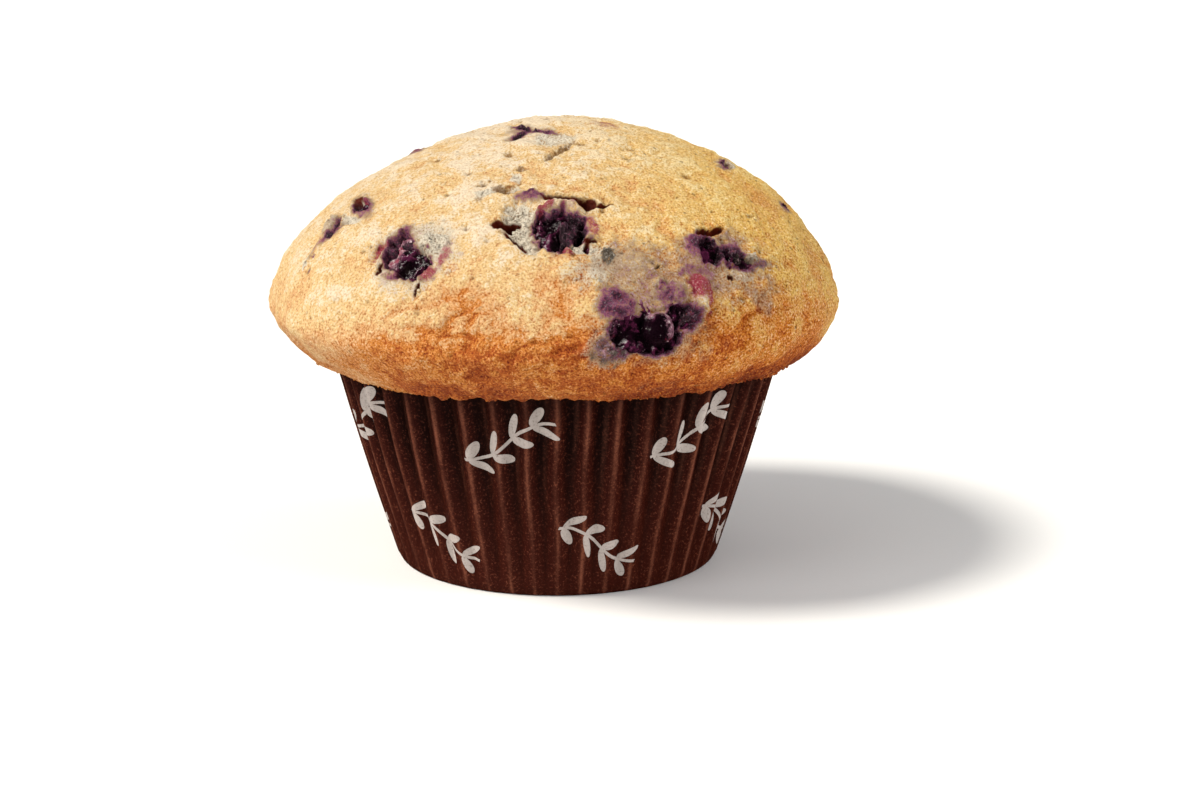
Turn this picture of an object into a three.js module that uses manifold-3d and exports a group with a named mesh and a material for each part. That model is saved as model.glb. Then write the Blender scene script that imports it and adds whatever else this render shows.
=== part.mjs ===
// A large berry muffin in a pleated paper case.
// Millimetres, +Z up, origin at the middle of the case's foot. The side with the burst berry faces -Y.

import * as THREE from 'three';
import { mergeVertices } from 'three/addons/utils/BufferGeometryUtils.js';
import Module from 'manifold-3d';

const wasm = await Module();
wasm.setup();

// ---- Driving dimensions ----

// Paper case: a pleated cup with a flat foot.
const FOOT_RADIUS = 27.8; // over the pleats' ridges, where the wall's line meets the table
const WALL_FLARE = 0.3008; // gain in radius for each millimetre of height
const CASE_HEIGHT = 38;
const FOOT_CORNER = 2.4; // rounding between the foot and the wall
const PAPER = 0.4;
const PLEATS = 44;
const PLEAT_DEPTH_TOP = 1.7;
const PLEAT_DEPTH_FOOT = 0.8;
const RIDGE_SHARE = 0.3; // of a pleat's width, the flat top of its ridge
const VALLEY_SHARE = 0.2; // of a pleat's width, the flat bottom of its valley

// Cake: a plug that fills the case, a lip that hangs over its edge, and a domed crown.
const FIT = 0.35; // clear space between two pieces
const RIM_RADIUS = 49.2; // widest ring of the crown
const RIM_HEIGHT = 45.7;
const CROWN_HEIGHT = 76.2;
const CROWN_ROUNDNESS = 1.77; // superellipse exponent: 2 is a plain ellipse
const LIP_HEIGHT = 36.4; // under-edge of the overhanging lip
const LIP_WIDTH = 1.5; // flat under-edge of the lip
const BELLY_ROUNDNESS = 1.45; // superellipse exponent of the crown's underside
const GROOVE_GAP = 0.5; // between the paper's edge and the lip that hides it
const RIM_SHIFT = -0.5; // of the rim along X, off the case's axis
const LEAN = 2.1; // drift of the crown's top along X, off the rim's middle

// Relief of the cake's skin.
const SWELL = 0.55; // broad, uneven rise of the batter
const LUMPS = 0.22; // small lumps in the crust
const DRIP = 0.85; // rise and fall of the lip's edge
const LIP_SWAY = 0.4; // the lip hangs lower at both sides than in front
const DRIPS = [ // waves of the lip's edge: how many go round, their share of DRIP and their phase
  { count: 7, share: 0.5, phase: 0.6 },
  { count: 17, share: 0.3, phase: 2 },
  { count: 29, share: 0.2, phase: 0 },
];
// Waves of the crust, in radians for each millimetre.
const SWELL_WAVE = { x: 0.07, y: 0.083, diagonal: 0.11, rise: 0.05, diagonalShare: 0.6 };
const LUMP_WAVE = { x: 0.41, y: 0.37, riseOnX: 0.27, riseOnY: 0.31 };

// Facets.
const CAKE_SIDES = 72;
const CROWN_STEPS = 14;
const BELLY_STEPS = 5;
const CORNER_STEPS = 3;
const WELD = 1e-4;

// Berries, placed on the crown. azimuth is in degrees from +X and climb runs from 0 at the rim to 90
// at the crown's top. size is across, up the slope and deep; sunk is the middle's depth under the
// crust; dent is how far the torn top has fallen in. mouth is the crust's opening, across and up the
// slope, and slip is how far that opening lies off the berry's middle, across.
const BERRIES = [
  {
    name: 'berry_front_burst', azimuth: -88, climb: 39, size: [13, 11.4, 9],
    sunk: 5.2, dent: 2.4, mouth: [19, 14.6], slip: -1.6,
  },
  {
    name: 'berry_front_left', azimuth: -124, climb: 30, size: [12.4, 10.4, 9],
    sunk: 4.9, dent: 2, mouth: [14.6, 12.2], slip: 0.6,
  },
  {
    name: 'berry_front_low', azimuth: -71, climb: 11, size: [16, 10.8, 8.6],
    sunk: 4, dent: 1.8, mouth: [17.6, 12.6], slip: 0,
  },
  {
    name: 'berry_front_right', azimuth: -50, climb: 28, size: [13, 8, 7],
    sunk: 3.7, dent: 1.3, mouth: [14.6, 9.4], slip: 0,
  },
  {
    name: 'berry_left_high', azimuth: -152, climb: 40, size: [6.8, 6.2, 6],
    sunk: 2.9, dent: 0.7, mouth: [8.4, 7.8], slip: 0,
  },
  {
    name: 'berry_left_low', azimuth: -151, climb: 26, size: [5.2, 8.4, 5],
    sunk: 2.5, dent: 0.5, mouth: [6.2, 9.4], slip: 0,
  },
  {
    name: 'berry_top', azimuth: -126, climb: 77, size: [8.6, 6.6, 5.6],
    sunk: 2.8, dent: 0.8, mouth: [10.4, 8.2], slip: 0.4,
  },
  {
    name: 'berry_right_high', azimuth: -5, climb: 51, size: [7, 5, 5],
    sunk: 2.5, dent: 0.6, mouth: [8.2, 6.2], slip: 0,
  },
  {
    name: 'berry_right_low', azimuth: 8, climb: 27, size: [9.4, 8.2, 7],
    sunk: 3.8, dent: 1.2, mouth: [11.2, 9.8], slip: 0.3,
  },
  {
    name: 'berry_back_right', azimuth: 44, climb: 36, size: [12.6, 10.8, 9],
    sunk: 4.9, dent: 2, mouth: [15, 13], slip: 0.8,
  },
  {
    name: 'berry_back_burst', azimuth: 88, climb: 46, size: [12, 10.6, 9],
    sunk: 5, dent: 2.2, mouth: [17, 13.4], slip: 1.2,
  },
  {
    name: 'berry_back_low', azimuth: 72, climb: 15, size: [9, 7.6, 6.6],
    sunk: 3.5, dent: 1, mouth: [10.8, 9.2], slip: 0,
  },
  {
    name: 'berry_back_left', azimuth: 128, climb: 27, size: [13.4, 9.6, 8],
    sunk: 4.4, dent: 1.6, mouth: [15.4, 11.4], slip: -0.5,
  },
  {
    name: 'berry_back_high', azimuth: 158, climb: 58, size: [8.4, 7.6, 6.6],
    sunk: 3.3, dent: 0.9, mouth: [10.2, 9.2], slip: 0.4,
  },
];
const BERRY_GAP = 1.1; // between a berry's corners and its hollow's
const BERRY_WRINKLE = 0.05; // share of the radius
const MOUTH_DEPTH = 3.4; // half depth of the hollow where the crust opens
const MOUTH_RISE = 1.3; // of that hollow's middle, above the crust
const LARGE_BERRY = 9.5; // berries this wide are faceted more finely

// Cracks in the crust, each from one place to another. width and depth are at the middle.
const CRACKS = [
  { from: [-78, 73], to: [-98, 60], width: 1.2, depth: 1.5 },
  { from: [-102, 57.5], to: [-106, 50], width: 1.3, depth: 1.6 },
  { from: [-97, 43], to: [-110, 41], width: 2, depth: 2 },
  { from: [-83, 44], to: [-73, 46], width: 1.5, depth: 1.7 },
  { from: [96, 52], to: [118, 58], width: 1.5, depth: 1.6 },
  { from: [80, 50], to: [60, 55], width: 1.2, depth: 1.4 },
];
const CRACK_PARTS = 3;
const CRACK_KINK = 0.7; // sideways jitter of a crack's line
const CRACK_RISE = 1.2; // how far a cutter stands out of the crust

const CRUST = { color: 0xd9a860, roughness: 0.85 };
const BERRY = { color: 0x2c1226, roughness: 0.35 };
const CASE = { color: 0x3e1c15, roughness: 0.8 };

// ---- Helpers ----

/** Seeded random numbers from 0 to 1. */
function randomSource(seed) {
  let state = seed;
  return () => {
    state = (state * 1664525 + 1013904223) % 4294967296;
    return state / 4294967296;
  };
}

/** Moves every vertex of a geometry by a function that changes the vector it is given. */
function reshape(geometry, move) {
  const position = geometry.attributes.position;
  const point = new THREE.Vector3();
  for (let i = 0; i < position.count; i += 1) {
    point.fromBufferAttribute(position, i);
    move(point);
    position.setXYZ(i, point.x, point.y, point.z);
  }
  return geometry;
}

/** Welds a closed geometry and drops the triangles that have no area. */
function weld(geometry) {
  geometry.deleteAttribute('normal');
  geometry.deleteAttribute('uv');
  const welded = mergeVertices(geometry, WELD);
  const index = welded.index.array;
  const kept = [];
  for (let i = 0; i < index.length; i += 3) {
    const [a, b, c] = index.slice(i, i + 3);
    if (a !== b && b !== c && c !== a) kept.push(a, b, c);
  }
  welded.setIndex(kept);
  return welded;
}

/** Turns a welded geometry into a solid that can be joined and cut. */
function toSolid(geometry) {
  return new wasm.Manifold(new wasm.Mesh({
    numProp: 3,
    vertProperties: new Float32Array(geometry.attributes.position.array),
    triVerts: new Uint32Array(geometry.index.array),
  }));
}

/** Turns a solid back into a geometry. */
function toGeometry(solid) {
  const mesh = solid.getMesh();
  const geometry = new THREE.BufferGeometry();
  geometry.setAttribute('position', new THREE.BufferAttribute(mesh.vertProperties, 3));
  geometry.setIndex(new THREE.BufferAttribute(mesh.triVerts, 1));
  return geometry;
}

/** Revolves [radius, height] pairs, given from the foot's middle outwards and up, about the Z axis. */
function revolve(profile, sides) {
  const points = profile.map(([radius, height]) => new THREE.Vector2(radius, height));
  return weld(new THREE.LatheGeometry(points, sides).rotateX(Math.PI / 2));
}

/** The largest of the bodies that cutting has left: the scraps between cutters fall away. */
function largestBody(solid) {
  const bodies = solid.decompose().sort((one, other) => other.volume() - one.volume());
  return bodies[0];
}

function namedMesh(name, geometry, finish) {
  const shaded = geometry.toNonIndexed();
  shaded.computeVertexNormals();
  const mesh = new THREE.Mesh(shaded, new THREE.MeshStandardMaterial({ ...finish, metalness: 0 }));
  mesh.name = name;
  return mesh;
}

// ---- Paper case ----

const wallRadius = (height) => FOOT_RADIUS + WALL_FLARE * height;

const pleatDepth = (height) => THREE.MathUtils.lerp(PLEAT_DEPTH_FOOT, PLEAT_DEPTH_TOP, height / CASE_HEIGHT);

// Edges of one pleat's ridge and valley, in halves of its width off the ridge's middle.
const PLEAT_EDGES = [-RIDGE_SHARE, RIDGE_SHARE, 1 - VALLEY_SHARE, 1 + VALLEY_SHARE];

/** Revolves a profile and folds it into pleats, except where it is the flat foot. */
function revolvePleated(profile, flatRadius) {
  const columns = PLEATS * PLEAT_EDGES.length;
  return reshape(revolve(profile, columns), (point) => {
    const radius = Math.hypot(point.x, point.y);
    if (radius < WELD) return;
    const column = Math.round((Math.atan2(point.y, point.x) / (2 * Math.PI)) * columns);
    const pleat = Math.floor(column / PLEAT_EDGES.length);
    const edge = column - pleat * PLEAT_EDGES.length;
    const angle = ((pleat + PLEAT_EDGES[edge] / 2) / PLEATS) * 2 * Math.PI;
    const inValley = edge > 1 && radius > flatRadius + WELD;
    const pleated = radius - (inValley ? pleatDepth(point.z) : 0);
    point.x = pleated * Math.cos(angle);
    point.y = pleated * Math.sin(angle);
  });
}

/** The cup: a pleated body with a pleated core cut out of it, one paper's thickness smaller. */
function makeCase() {
  const flatRadius = wallRadius(FOOT_CORNER) - FOOT_CORNER * Math.hypot(1, WALL_FLARE);
  const corner = [];
  for (let step = 1; step <= CORNER_STEPS; step += 1) {
    const turn = (step / CORNER_STEPS) * (Math.PI / 2 - Math.atan(WALL_FLARE));
    corner.push([flatRadius + FOOT_CORNER * Math.sin(turn), FOOT_CORNER * (1 - Math.cos(turn))]);
  }
  const top = [wallRadius(CASE_HEIGHT), CASE_HEIGHT];
  const body = [[0, 0], [flatRadius, 0], ...corner, top, [0, CASE_HEIGHT]];
  const above = CASE_HEIGHT + PAPER;
  const core = [
    [0, PAPER],
    [flatRadius, PAPER],
    [wallRadius(FOOT_CORNER) - PAPER, FOOT_CORNER],
    [wallRadius(above) - PAPER, above],
    [0, above],
  ];
  const [solid, cutter] = [body, core].map((profile) => toSolid(revolvePleated(profile, flatRadius)));
  return toGeometry(solid.subtract(cutter));
}

// ---- Cake ----

/** Radius and height of the crown's plain profile. climb is in degrees: 0 at the rim, 90 at the top. */
function crownProfile(climb) {
  const turn = THREE.MathUtils.degToRad(climb);
  const power = 2 / CROWN_ROUNDNESS;
  return [
    RIM_RADIUS * Math.max(Math.cos(turn), 0) ** power,
    RIM_HEIGHT + (CROWN_HEIGHT - RIM_HEIGHT) * Math.sin(turn) ** power,
  ];
}

/** Place and directions on the crown: a point, and the ways across, up the slope and out. */
function crownFrame(azimuth, climb) {
  const turn = THREE.MathUtils.degToRad(azimuth);
  const out = new THREE.Vector3(Math.cos(turn), Math.sin(turn), 0);
  const [radius, height] = crownProfile(climb);
  const [nextRadius, nextHeight] = crownProfile(climb + 1);
  const origin = out.clone().multiplyScalar(radius).setZ(height);
  origin.x += leanAt(height);
  const across = new THREE.Vector3(-Math.sin(turn), Math.cos(turn), 0);
  const upSlope = out.clone().multiplyScalar(nextRadius - radius).setZ(nextHeight - height).normalize();
  return { origin, across, upSlope, outward: across.clone().cross(upSlope) };
}

/** How far the cake's middle lies off the case's axis along X at a height. */
function leanAt(height) {
  const onBelly = THREE.MathUtils.smoothstep(height, LIP_HEIGHT, RIM_HEIGHT);
  const onCrown = THREE.MathUtils.clamp((height - RIM_HEIGHT) / (CROWN_HEIGHT - RIM_HEIGHT), 0, 1);
  return RIM_SHIFT * onBelly + LEAN * onCrown ** 2;
}

/** Uneven rise of the crust at a point, in millimetres. */
function crustRelief({ x, y, z }) {
  const across = Math.sin(SWELL_WAVE.x * x + 0.9) * Math.cos(SWELL_WAVE.y * y - 0.4);
  const diagonal = Math.sin(SWELL_WAVE.diagonal * (x - y) + SWELL_WAVE.rise * z);
  const broad = (across + SWELL_WAVE.diagonalShare * diagonal) / (1 + SWELL_WAVE.diagonalShare);
  const ripple = Math.sin(LUMP_WAVE.x * x + LUMP_WAVE.riseOnX * z);
  const small = ripple * Math.sin(LUMP_WAVE.y * y - LUMP_WAVE.riseOnY * z + 1.1);
  return SWELL * broad + LUMPS * small;
}

/** Height of the lip's under-edge around the case. */
function lipHeight(angle) {
  const drips = DRIPS.map(({ count, share, phase }) => share * Math.sin(count * angle + phase));
  return LIP_HEIGHT - LIP_SWAY * Math.cos(2 * angle) + DRIP * (drips[0] + drips[1] + drips[2]);
}

function makeCakeBody() {
  const floor = PAPER + FIT;
  const plugRadius = (height) => wallRadius(height) - pleatDepth(height) - PAPER - FIT;
  const shoulder = CASE_HEIGHT + GROOVE_GAP;
  const lipInside = wallRadius(CASE_HEIGHT) + GROOVE_GAP;
  const lipOutside = lipInside + LIP_WIDTH;
  const plug = [
    [0, floor],
    [plugRadius(0) - FOOT_CORNER, floor],
    [plugRadius(FOOT_CORNER), FOOT_CORNER + floor],
    [plugRadius(CASE_HEIGHT), shoulder],
    [lipInside, shoulder],
    [lipInside, LIP_HEIGHT],
  ];
  const belly = [];
  for (let step = 0; step < BELLY_STEPS; step += 1) {
    const turn = (1 - step / BELLY_STEPS) * (Math.PI / 2);
    const power = 2 / BELLY_ROUNDNESS;
    belly.push([
      lipOutside + (RIM_RADIUS - lipOutside) * Math.cos(turn) ** power,
      RIM_HEIGHT - (RIM_HEIGHT - LIP_HEIGHT) * Math.sin(turn) ** power,
    ]);
  }
  const crown = [];
  for (let step = 0; step <= CROWN_STEPS; step += 1) {
    crown.push(crownProfile((step / CROWN_STEPS) * 90));
  }
  crown[CROWN_STEPS][0] = 0;

  const body = revolve([...plug, ...belly, ...crown], CAKE_SIDES);
  return reshape(body, (point) => {
    const angle = Math.atan2(point.y, point.x);
    const radius = Math.hypot(point.x, point.y);
    const inPlug = radius < lipInside - 0.01 && point.z <= shoulder + 0.01;
    const onShoulder = point.z > shoulder - 0.01 && point.z < shoulder + 0.01 && radius < lipInside + 0.01;
    if (inPlug || onShoulder) return;
    const share = THREE.MathUtils.clamp((RIM_HEIGHT - point.z) / (RIM_HEIGHT - LIP_HEIGHT), 0, 1);
    const relief = crustRelief(point) * (1 - share);
    point.z += (lipHeight(angle) - LIP_HEIGHT) * share * share;
    const upright = THREE.MathUtils.clamp((point.z - RIM_HEIGHT) / (CROWN_HEIGHT - RIM_HEIGHT), 0, 1);
    point.z += relief * upright;
    point.x += relief * (1 - upright) * Math.cos(angle) + leanAt(point.z);
    point.y += relief * (1 - upright) * Math.sin(angle);
  });
}

// ---- Berries and the hollows they sit in ----

/** A closed lumpy ball. radiusAt gives the distance from the middle for a unit direction. */
function makeBall(frame, depth, detail, radiusAt) {
  const middle = frame.origin.clone().addScaledVector(frame.outward, -depth);
  const turned = new THREE.Matrix4().makeBasis(frame.across, frame.upSlope, frame.outward);
  const ball = reshape(weld(new THREE.IcosahedronGeometry(1, detail)), (point) => {
    point.multiplyScalar(radiusAt(point));
  });
  return ball.applyMatrix4(turned.setPosition(middle));
}

/** Distance from an ellipsoid's middle to its surface along a unit direction. */
function ellipsoidRadius(direction, size) {
  const [across, along, deep] = size.map((width) => width / 2);
  return 1 / Math.hypot(direction.x / across, direction.y / along, direction.z / deep);
}

/** The outline of one berry: an uneven ellipsoid whose torn top has fallen in. */
function berryRadius(berry, seed) {
  const random = randomSource(seed);
  const phases = [random(), random(), random()].map((share) => share * 2 * Math.PI);
  return (direction) => {
    const wrinkle = Math.sin(5 * direction.x + phases[0]) * Math.sin(6 * direction.y + phases[1])
      + 0.5 * Math.sin(9 * direction.z + phases[2]);
    const plain = ellipsoidRadius(direction, berry.size) * (1 + BERRY_WRINKLE * wrinkle);
    return plain - berry.dent * Math.max(direction.z, 0) ** 6;
  };
}

function makeBerries() {
  return BERRIES.map((berry, number) => {
    const frame = crownFrame(berry.azimuth, berry.climb);
    const detail = berry.size[0] > LARGE_BERRY ? 2 : 1;
    const radiusAt = berryRadius(berry, number + 11);
    const geometry = makeBall(frame, berry.sunk, detail, radiusAt);
    const hollow = makeBall(frame, berry.sunk, 1, (direction) => radiusAt(direction) + BERRY_GAP);
    const mouthFrame = { ...frame, origin: frame.origin.clone().addScaledVector(frame.across, berry.slip) };
    const mouthSize = [...berry.mouth, 2 * MOUTH_DEPTH];
    const mouth = makeBall(mouthFrame, -MOUTH_RISE, 1, (direction) => ellipsoidRadius(direction, mouthSize));
    return { name: berry.name, geometry, cutters: [toSolid(hollow), toSolid(mouth)] };
  });
}

// ---- Cracks ----

/** One stretch of a crack: a wedge with its edge in the crumb and its back above the crust. */
function makeWedge(start, end) {
  const corners = [start, end].flatMap(({ frame, width, depth }) => {
    const side = frame.sideways.clone().multiplyScalar(width / 2);
    const above = frame.origin.clone().addScaledVector(frame.outward, CRACK_RISE);
    const below = frame.origin.clone().addScaledVector(frame.outward, -depth);
    return [below, above.clone().add(side), above.clone().sub(side)];
  });
  const faces = [0, 1, 2, 5, 4, 3, 0, 3, 4, 0, 4, 1, 1, 4, 5, 1, 5, 2, 2, 5, 3, 2, 3, 0];
  const geometry = new THREE.BufferGeometry();
  geometry.setAttribute('position', new THREE.Float32BufferAttribute(corners.flatMap((c) => c.toArray()), 3));
  geometry.setIndex(faces);
  const solid = toSolid(geometry);
  return solid.volume() > 0 ? solid : toSolid(geometry.setIndex(faces.slice().reverse()));
}

/** A crack as a chain of wedges that is widest and deepest in the middle. */
function makeCrack(crack, seed) {
  const random = randomSource(seed);
  const stations = [];
  for (let step = 0; step <= CRACK_PARTS; step += 1) {
    const share = step / CRACK_PARTS;
    const azimuth = THREE.MathUtils.lerp(crack.from[0], crack.to[0], share);
    const climb = THREE.MathUtils.lerp(crack.from[1], crack.to[1], share);
    const frame = crownFrame(azimuth, climb);
    const fullness = 0.25 + 0.75 * Math.sin(Math.PI * share);
    stations.push({ frame, width: crack.width * fullness, depth: crack.depth * fullness });
  }
  const way = stations[CRACK_PARTS].frame.origin.clone().sub(stations[0].frame.origin).normalize();
  for (const { frame } of stations) {
    frame.sideways = frame.outward.clone().cross(way).normalize();
    frame.origin.addScaledVector(frame.sideways, CRACK_KINK * (random() * 2 - 1));
  }
  return stations.slice(1).map((station, step) => makeWedge(stations[step], station));
}

// ---- Assembly ----

const berries = makeBerries();
const cutters = [
  ...berries.flatMap((berry) => berry.cutters),
  ...CRACKS.flatMap((crack, number) => makeCrack(crack, number + 31)),
];
const carved = cutters.reduce((solid, cutter) => solid.subtract(cutter), toSolid(makeCakeBody()));
const cake = largestBody(carved);

const muffin = new THREE.Group();
muffin.add(namedMesh('cake', toGeometry(cake), CRUST));
muffin.add(namedMesh('paper_case', makeCase(), CASE));
for (const berry of berries) {
  muffin.add(namedMesh(berry.name, berry.geometry, BERRY));
}

export default muffin;
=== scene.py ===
"""A large berry muffin in a pleated paper case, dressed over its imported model.

Lengths inside the classes are millimetres and become metres when a mesh is handed to Blender.
"""
import itertools
import logging
import math
from dataclasses import dataclass, field
from enum import Enum

import bmesh
import bpy
import numpy as np
from bpy.types import Material, Mesh, Node, NodeSocket, NodeTree, Object
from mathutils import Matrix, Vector


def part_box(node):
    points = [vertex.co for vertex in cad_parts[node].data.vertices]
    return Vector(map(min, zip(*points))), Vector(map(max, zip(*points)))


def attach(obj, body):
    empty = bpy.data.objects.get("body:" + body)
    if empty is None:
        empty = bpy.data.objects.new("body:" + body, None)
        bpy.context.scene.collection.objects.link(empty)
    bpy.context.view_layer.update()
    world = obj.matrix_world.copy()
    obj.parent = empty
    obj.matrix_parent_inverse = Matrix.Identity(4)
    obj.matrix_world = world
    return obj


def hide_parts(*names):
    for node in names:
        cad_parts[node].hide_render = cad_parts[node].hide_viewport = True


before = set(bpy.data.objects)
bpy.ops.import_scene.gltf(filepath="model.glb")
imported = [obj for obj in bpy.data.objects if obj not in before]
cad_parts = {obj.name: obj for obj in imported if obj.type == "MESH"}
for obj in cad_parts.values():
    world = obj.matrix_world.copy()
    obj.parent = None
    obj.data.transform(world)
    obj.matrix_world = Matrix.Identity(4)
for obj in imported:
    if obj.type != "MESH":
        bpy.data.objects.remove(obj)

LOG = logging.getLogger("muffin")
MM = 0.001  # metres in a millimetre
TAU = 2 * math.pi
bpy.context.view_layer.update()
MATH, MAP_RANGE, MIX = "ShaderNodeMath", "ShaderNodeMapRange", "ShaderNodeMix"
VECTOR_MATH, NOISE, RANDOM = "ShaderNodeVectorMath", "ShaderNodeTexNoise", "FunctionNodeRandomValue"
USUAL_SETTINGS = {
    MAP_RANGE: {"interpolation_type": "SMOOTHSTEP"},
    MIX: {"data_type": "RGBA"},
}


# ---- Numbers on arrays of points ----

def node_box(node: str) -> tuple[np.ndarray, np.ndarray]:
    """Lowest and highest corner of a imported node, in millimetres."""
    low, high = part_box(node)
    return np.array(low) / MM, np.array(high) / MM


def smoothstep(low: float, high: float, value: np.ndarray) -> np.ndarray:
    """Smooth step from 0 at low to 1 at high."""
    share = np.clip((value - low) / (high - low), 0, 1)
    return share * share * (3 - 2 * share)


def bell(value: np.ndarray, middle: float, width: float) -> np.ndarray:
    """Bell curve of height 1 around middle."""
    return np.exp(-((value - middle) / width) ** 2)


def dome(reach: np.ndarray) -> np.ndarray:
    """Height of a half sphere of radius 1 over a place, and 0 outside it."""
    return np.sqrt(np.clip(1 - reach ** 2, 0, 1))


class Noise:
    """Seeded gradient noise in space."""

    def __init__(self, seed: int) -> None:
        """Draws the lattice's directions.

        Args:
            seed: of the random draw.
        """
        random = np.random.default_rng(seed)
        self.order = np.tile(random.permutation(256), 2)
        directions = random.normal(size=(256, 3))
        self.directions = directions / np.linalg.norm(directions, axis=1, keepdims=True)

    def plain(self, points: np.ndarray, grain: float) -> np.ndarray:
        """One layer of noise.

        Args:
            points: places in millimetres, one row each.
            grain: size of a lump in millimetres.

        Returns:
            Values from about -1 to 1.
        """
        scaled = points / grain
        cell = np.floor(scaled).astype(int)
        part = scaled - cell
        fade = part ** 3 * (part * (part * 6 - 15) + 10)
        total = np.zeros(len(points))
        for corner in itertools.product((0, 1), repeat=3):
            x, y, z = ((cell + corner) & 255).T
            key = self.order[self.order[self.order[x] + y] + z]
            slope = ((part - corner) * self.directions[key]).sum(axis=1)
            weight = np.where(np.array(corner) == 1, fade, 1 - fade).prod(axis=1)
            total += slope * weight
        return total * 1.7

    def fractal(self, points: np.ndarray, grain: float, layers: int = 3) -> np.ndarray:
        """Several layers of noise, each of half the size and half the height of the one before.

        Args:
            points: places in millimetres, one row each.
            grain: size of the largest lumps in millimetres.
            layers: how many layers are added up.

        Returns:
            Values from about -1 to 1.
        """
        total = sum(0.5 ** layer * self.plain(points + 17.3 * layer, grain / 2 ** layer)
                    for layer in range(layers))
        return total / sum(0.5 ** layer for layer in range(layers))

    def ridged(self, points: np.ndarray, grain: float) -> np.ndarray:
        """Sharp creases on rounded lumps.

        Args:
            points: places in millimetres, one row each.
            grain: size of the largest lumps in millimetres.

        Returns:
            Values from 0 in the creases to 1.
        """
        total = sum(0.5 ** layer * np.abs(self.plain(points - 9.1 * layer, grain / 2 ** layer))
                    for layer in range(2))
        return np.clip(total * 1.3, 0, 1)


# ---- Meshes ----

def make_mesh_object(name: str, points: np.ndarray, faces: list, smooth: bool = True) -> Object:
    """Makes a mesh object at the origin and links it to the scene.

    Args:
        name: the piece's name.
        points: vertices in millimetres.
        faces: vertex numbers of each face.
        smooth: whether the faces are shaded smooth.

    Returns:
        The new object.
    """
    mesh = bpy.data.meshes.new(name)
    mesh.from_pydata((np.asarray(points) * MM).tolist(), [], [tuple(face) for face in faces])
    mesh.update()
    if smooth:
        mesh.shade_smooth()
    return link_object(name, mesh)


def link_object(name: str, data: bpy.types.ID) -> Object:
    """Makes an object of a mesh, a light or a camera and links it to the scene.

    Args:
        name: the object's name.
        data: what the object shows.

    Returns:
        The new object.
    """
    piece = bpy.data.objects.new(name, data)
    bpy.context.collection.objects.link(piece)
    return piece


def read_vectors(items: bpy.types.bpy_prop_collection, name: str) -> np.ndarray:
    """Reads one vector from each item of a mesh's collection.

    Args:
        items: the collection, such as the mesh's vertices.
        name: the vector's name.

    Returns:
        The vectors, one row each.
    """
    flat = np.empty(len(items) * 3)
    items.foreach_get(name, flat)
    return flat.reshape(-1, 3)


def store_values(mesh: Mesh, values: dict[str, np.ndarray]) -> None:
    """Stores numbers for each vertex, which materials read by name.

    Args:
        mesh: the mesh.
        values: an array for each name.
    """
    for name, numbers in values.items():
        layer = mesh.attributes.new(name, "FLOAT", "POINT")
        layer.data.foreach_set("value", np.ascontiguousarray(numbers, dtype=np.float32))


def ring(radius: float, height: float, angles: np.ndarray) -> np.ndarray:
    """Places at the given angles on a level circle."""
    return np.stack([radius * np.cos(angles), radius * np.sin(angles), np.full(len(angles), height)], axis=1)


# ---- Node trees ----

def linear(hex_colour: str) -> tuple[float, float, float, float]:
    """Turns an sRGB hex colour such as #A1B2C3 into a linear colour with alpha.

    Args:
        hex_colour: the colour.

    Returns:
        Red, green, blue and alpha.
    """
    channels = [int(hex_colour[i:i + 2], 16) / 255 for i in (1, 3, 5)]
    straight = [c / 12.92 if c <= 0.04045 else ((c + 0.055) / 1.055) ** 2.4 for c in channels]
    return (*straight, 1.0)


def per_metre(size_mm: float) -> float:
    """Texture scale at which one lump of a pattern on object coordinates measures size_mm."""
    return 1 / (size_mm * MM)


def add_node(tree: NodeTree, kind: str, *values: object, named: dict[str, object] | None = None,
             **settings: object) -> Node:
    """Adds a node with its settings, its values and the links that feed it.

    Args:
        tree: the node tree that gets the node.
        kind: the node's type name.
        values: what its open inputs get, in order: a number, a vector, a hex colour, a data block or
            an Output.
        named: the same for inputs given by name.
        settings: properties of the node.

    Returns:
        The new node.
    """
    node = tree.nodes.new(kind)
    for name, value in {**USUAL_SETTINGS.get(kind, {}), **settings}.items():
        setattr(node, name, value)
    given = list(zip([socket for socket in node.inputs if socket.enabled], values))
    given += [(node.inputs[name], value) for name, value in (named or {}).items()]
    for socket, value in given:
        if isinstance(value, Output):
            tree.links.new(value.socket, socket)
        elif isinstance(value, str) and value.startswith("#"):
            socket.default_value = linear(value)
        else:
            socket.default_value = value
    return node


@dataclass(frozen=True)
class Output:
    """One output of a node. It adds, subtracts, multiplies and divides as a number does."""

    draft: "Draft"
    socket: NodeSocket

    def other(self, name: str) -> "Output":
        """Another output of the same node."""
        return Output(self.draft, self.socket.node.outputs[name])

    def __add__(self, more: "float | Output") -> "Output":
        """The sum with another value."""
        return self.draft.add(MATH, self, more, operation="ADD")

    def __sub__(self, less: "float | Output") -> "Output":
        """What is left of this value."""
        return self.draft.add(MATH, self, less, operation="SUBTRACT")

    def __mul__(self, times: "float | Output") -> "Output":
        """The product with another value."""
        return self.draft.add(MATH, self, times, operation="MULTIPLY")

    def __truediv__(self, parts: "float | Output") -> "Output":
        """This value divided by another."""
        return self.draft.add(MATH, self, parts, operation="DIVIDE")


class Draft:
    """A node tree under construction."""

    def __init__(self, tree: NodeTree) -> None:
        """Starts from a tree."""
        self.tree = tree

    def add(self, kind: str, *values: object, named: dict[str, object] | None = None,
            **settings: object) -> Output:
        """Adds a node as add_node does, and returns its first open output."""
        node = add_node(self.tree, kind, *values, named=named, **settings)
        return Output(self, next(socket for socket in node.outputs if socket.enabled))


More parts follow.
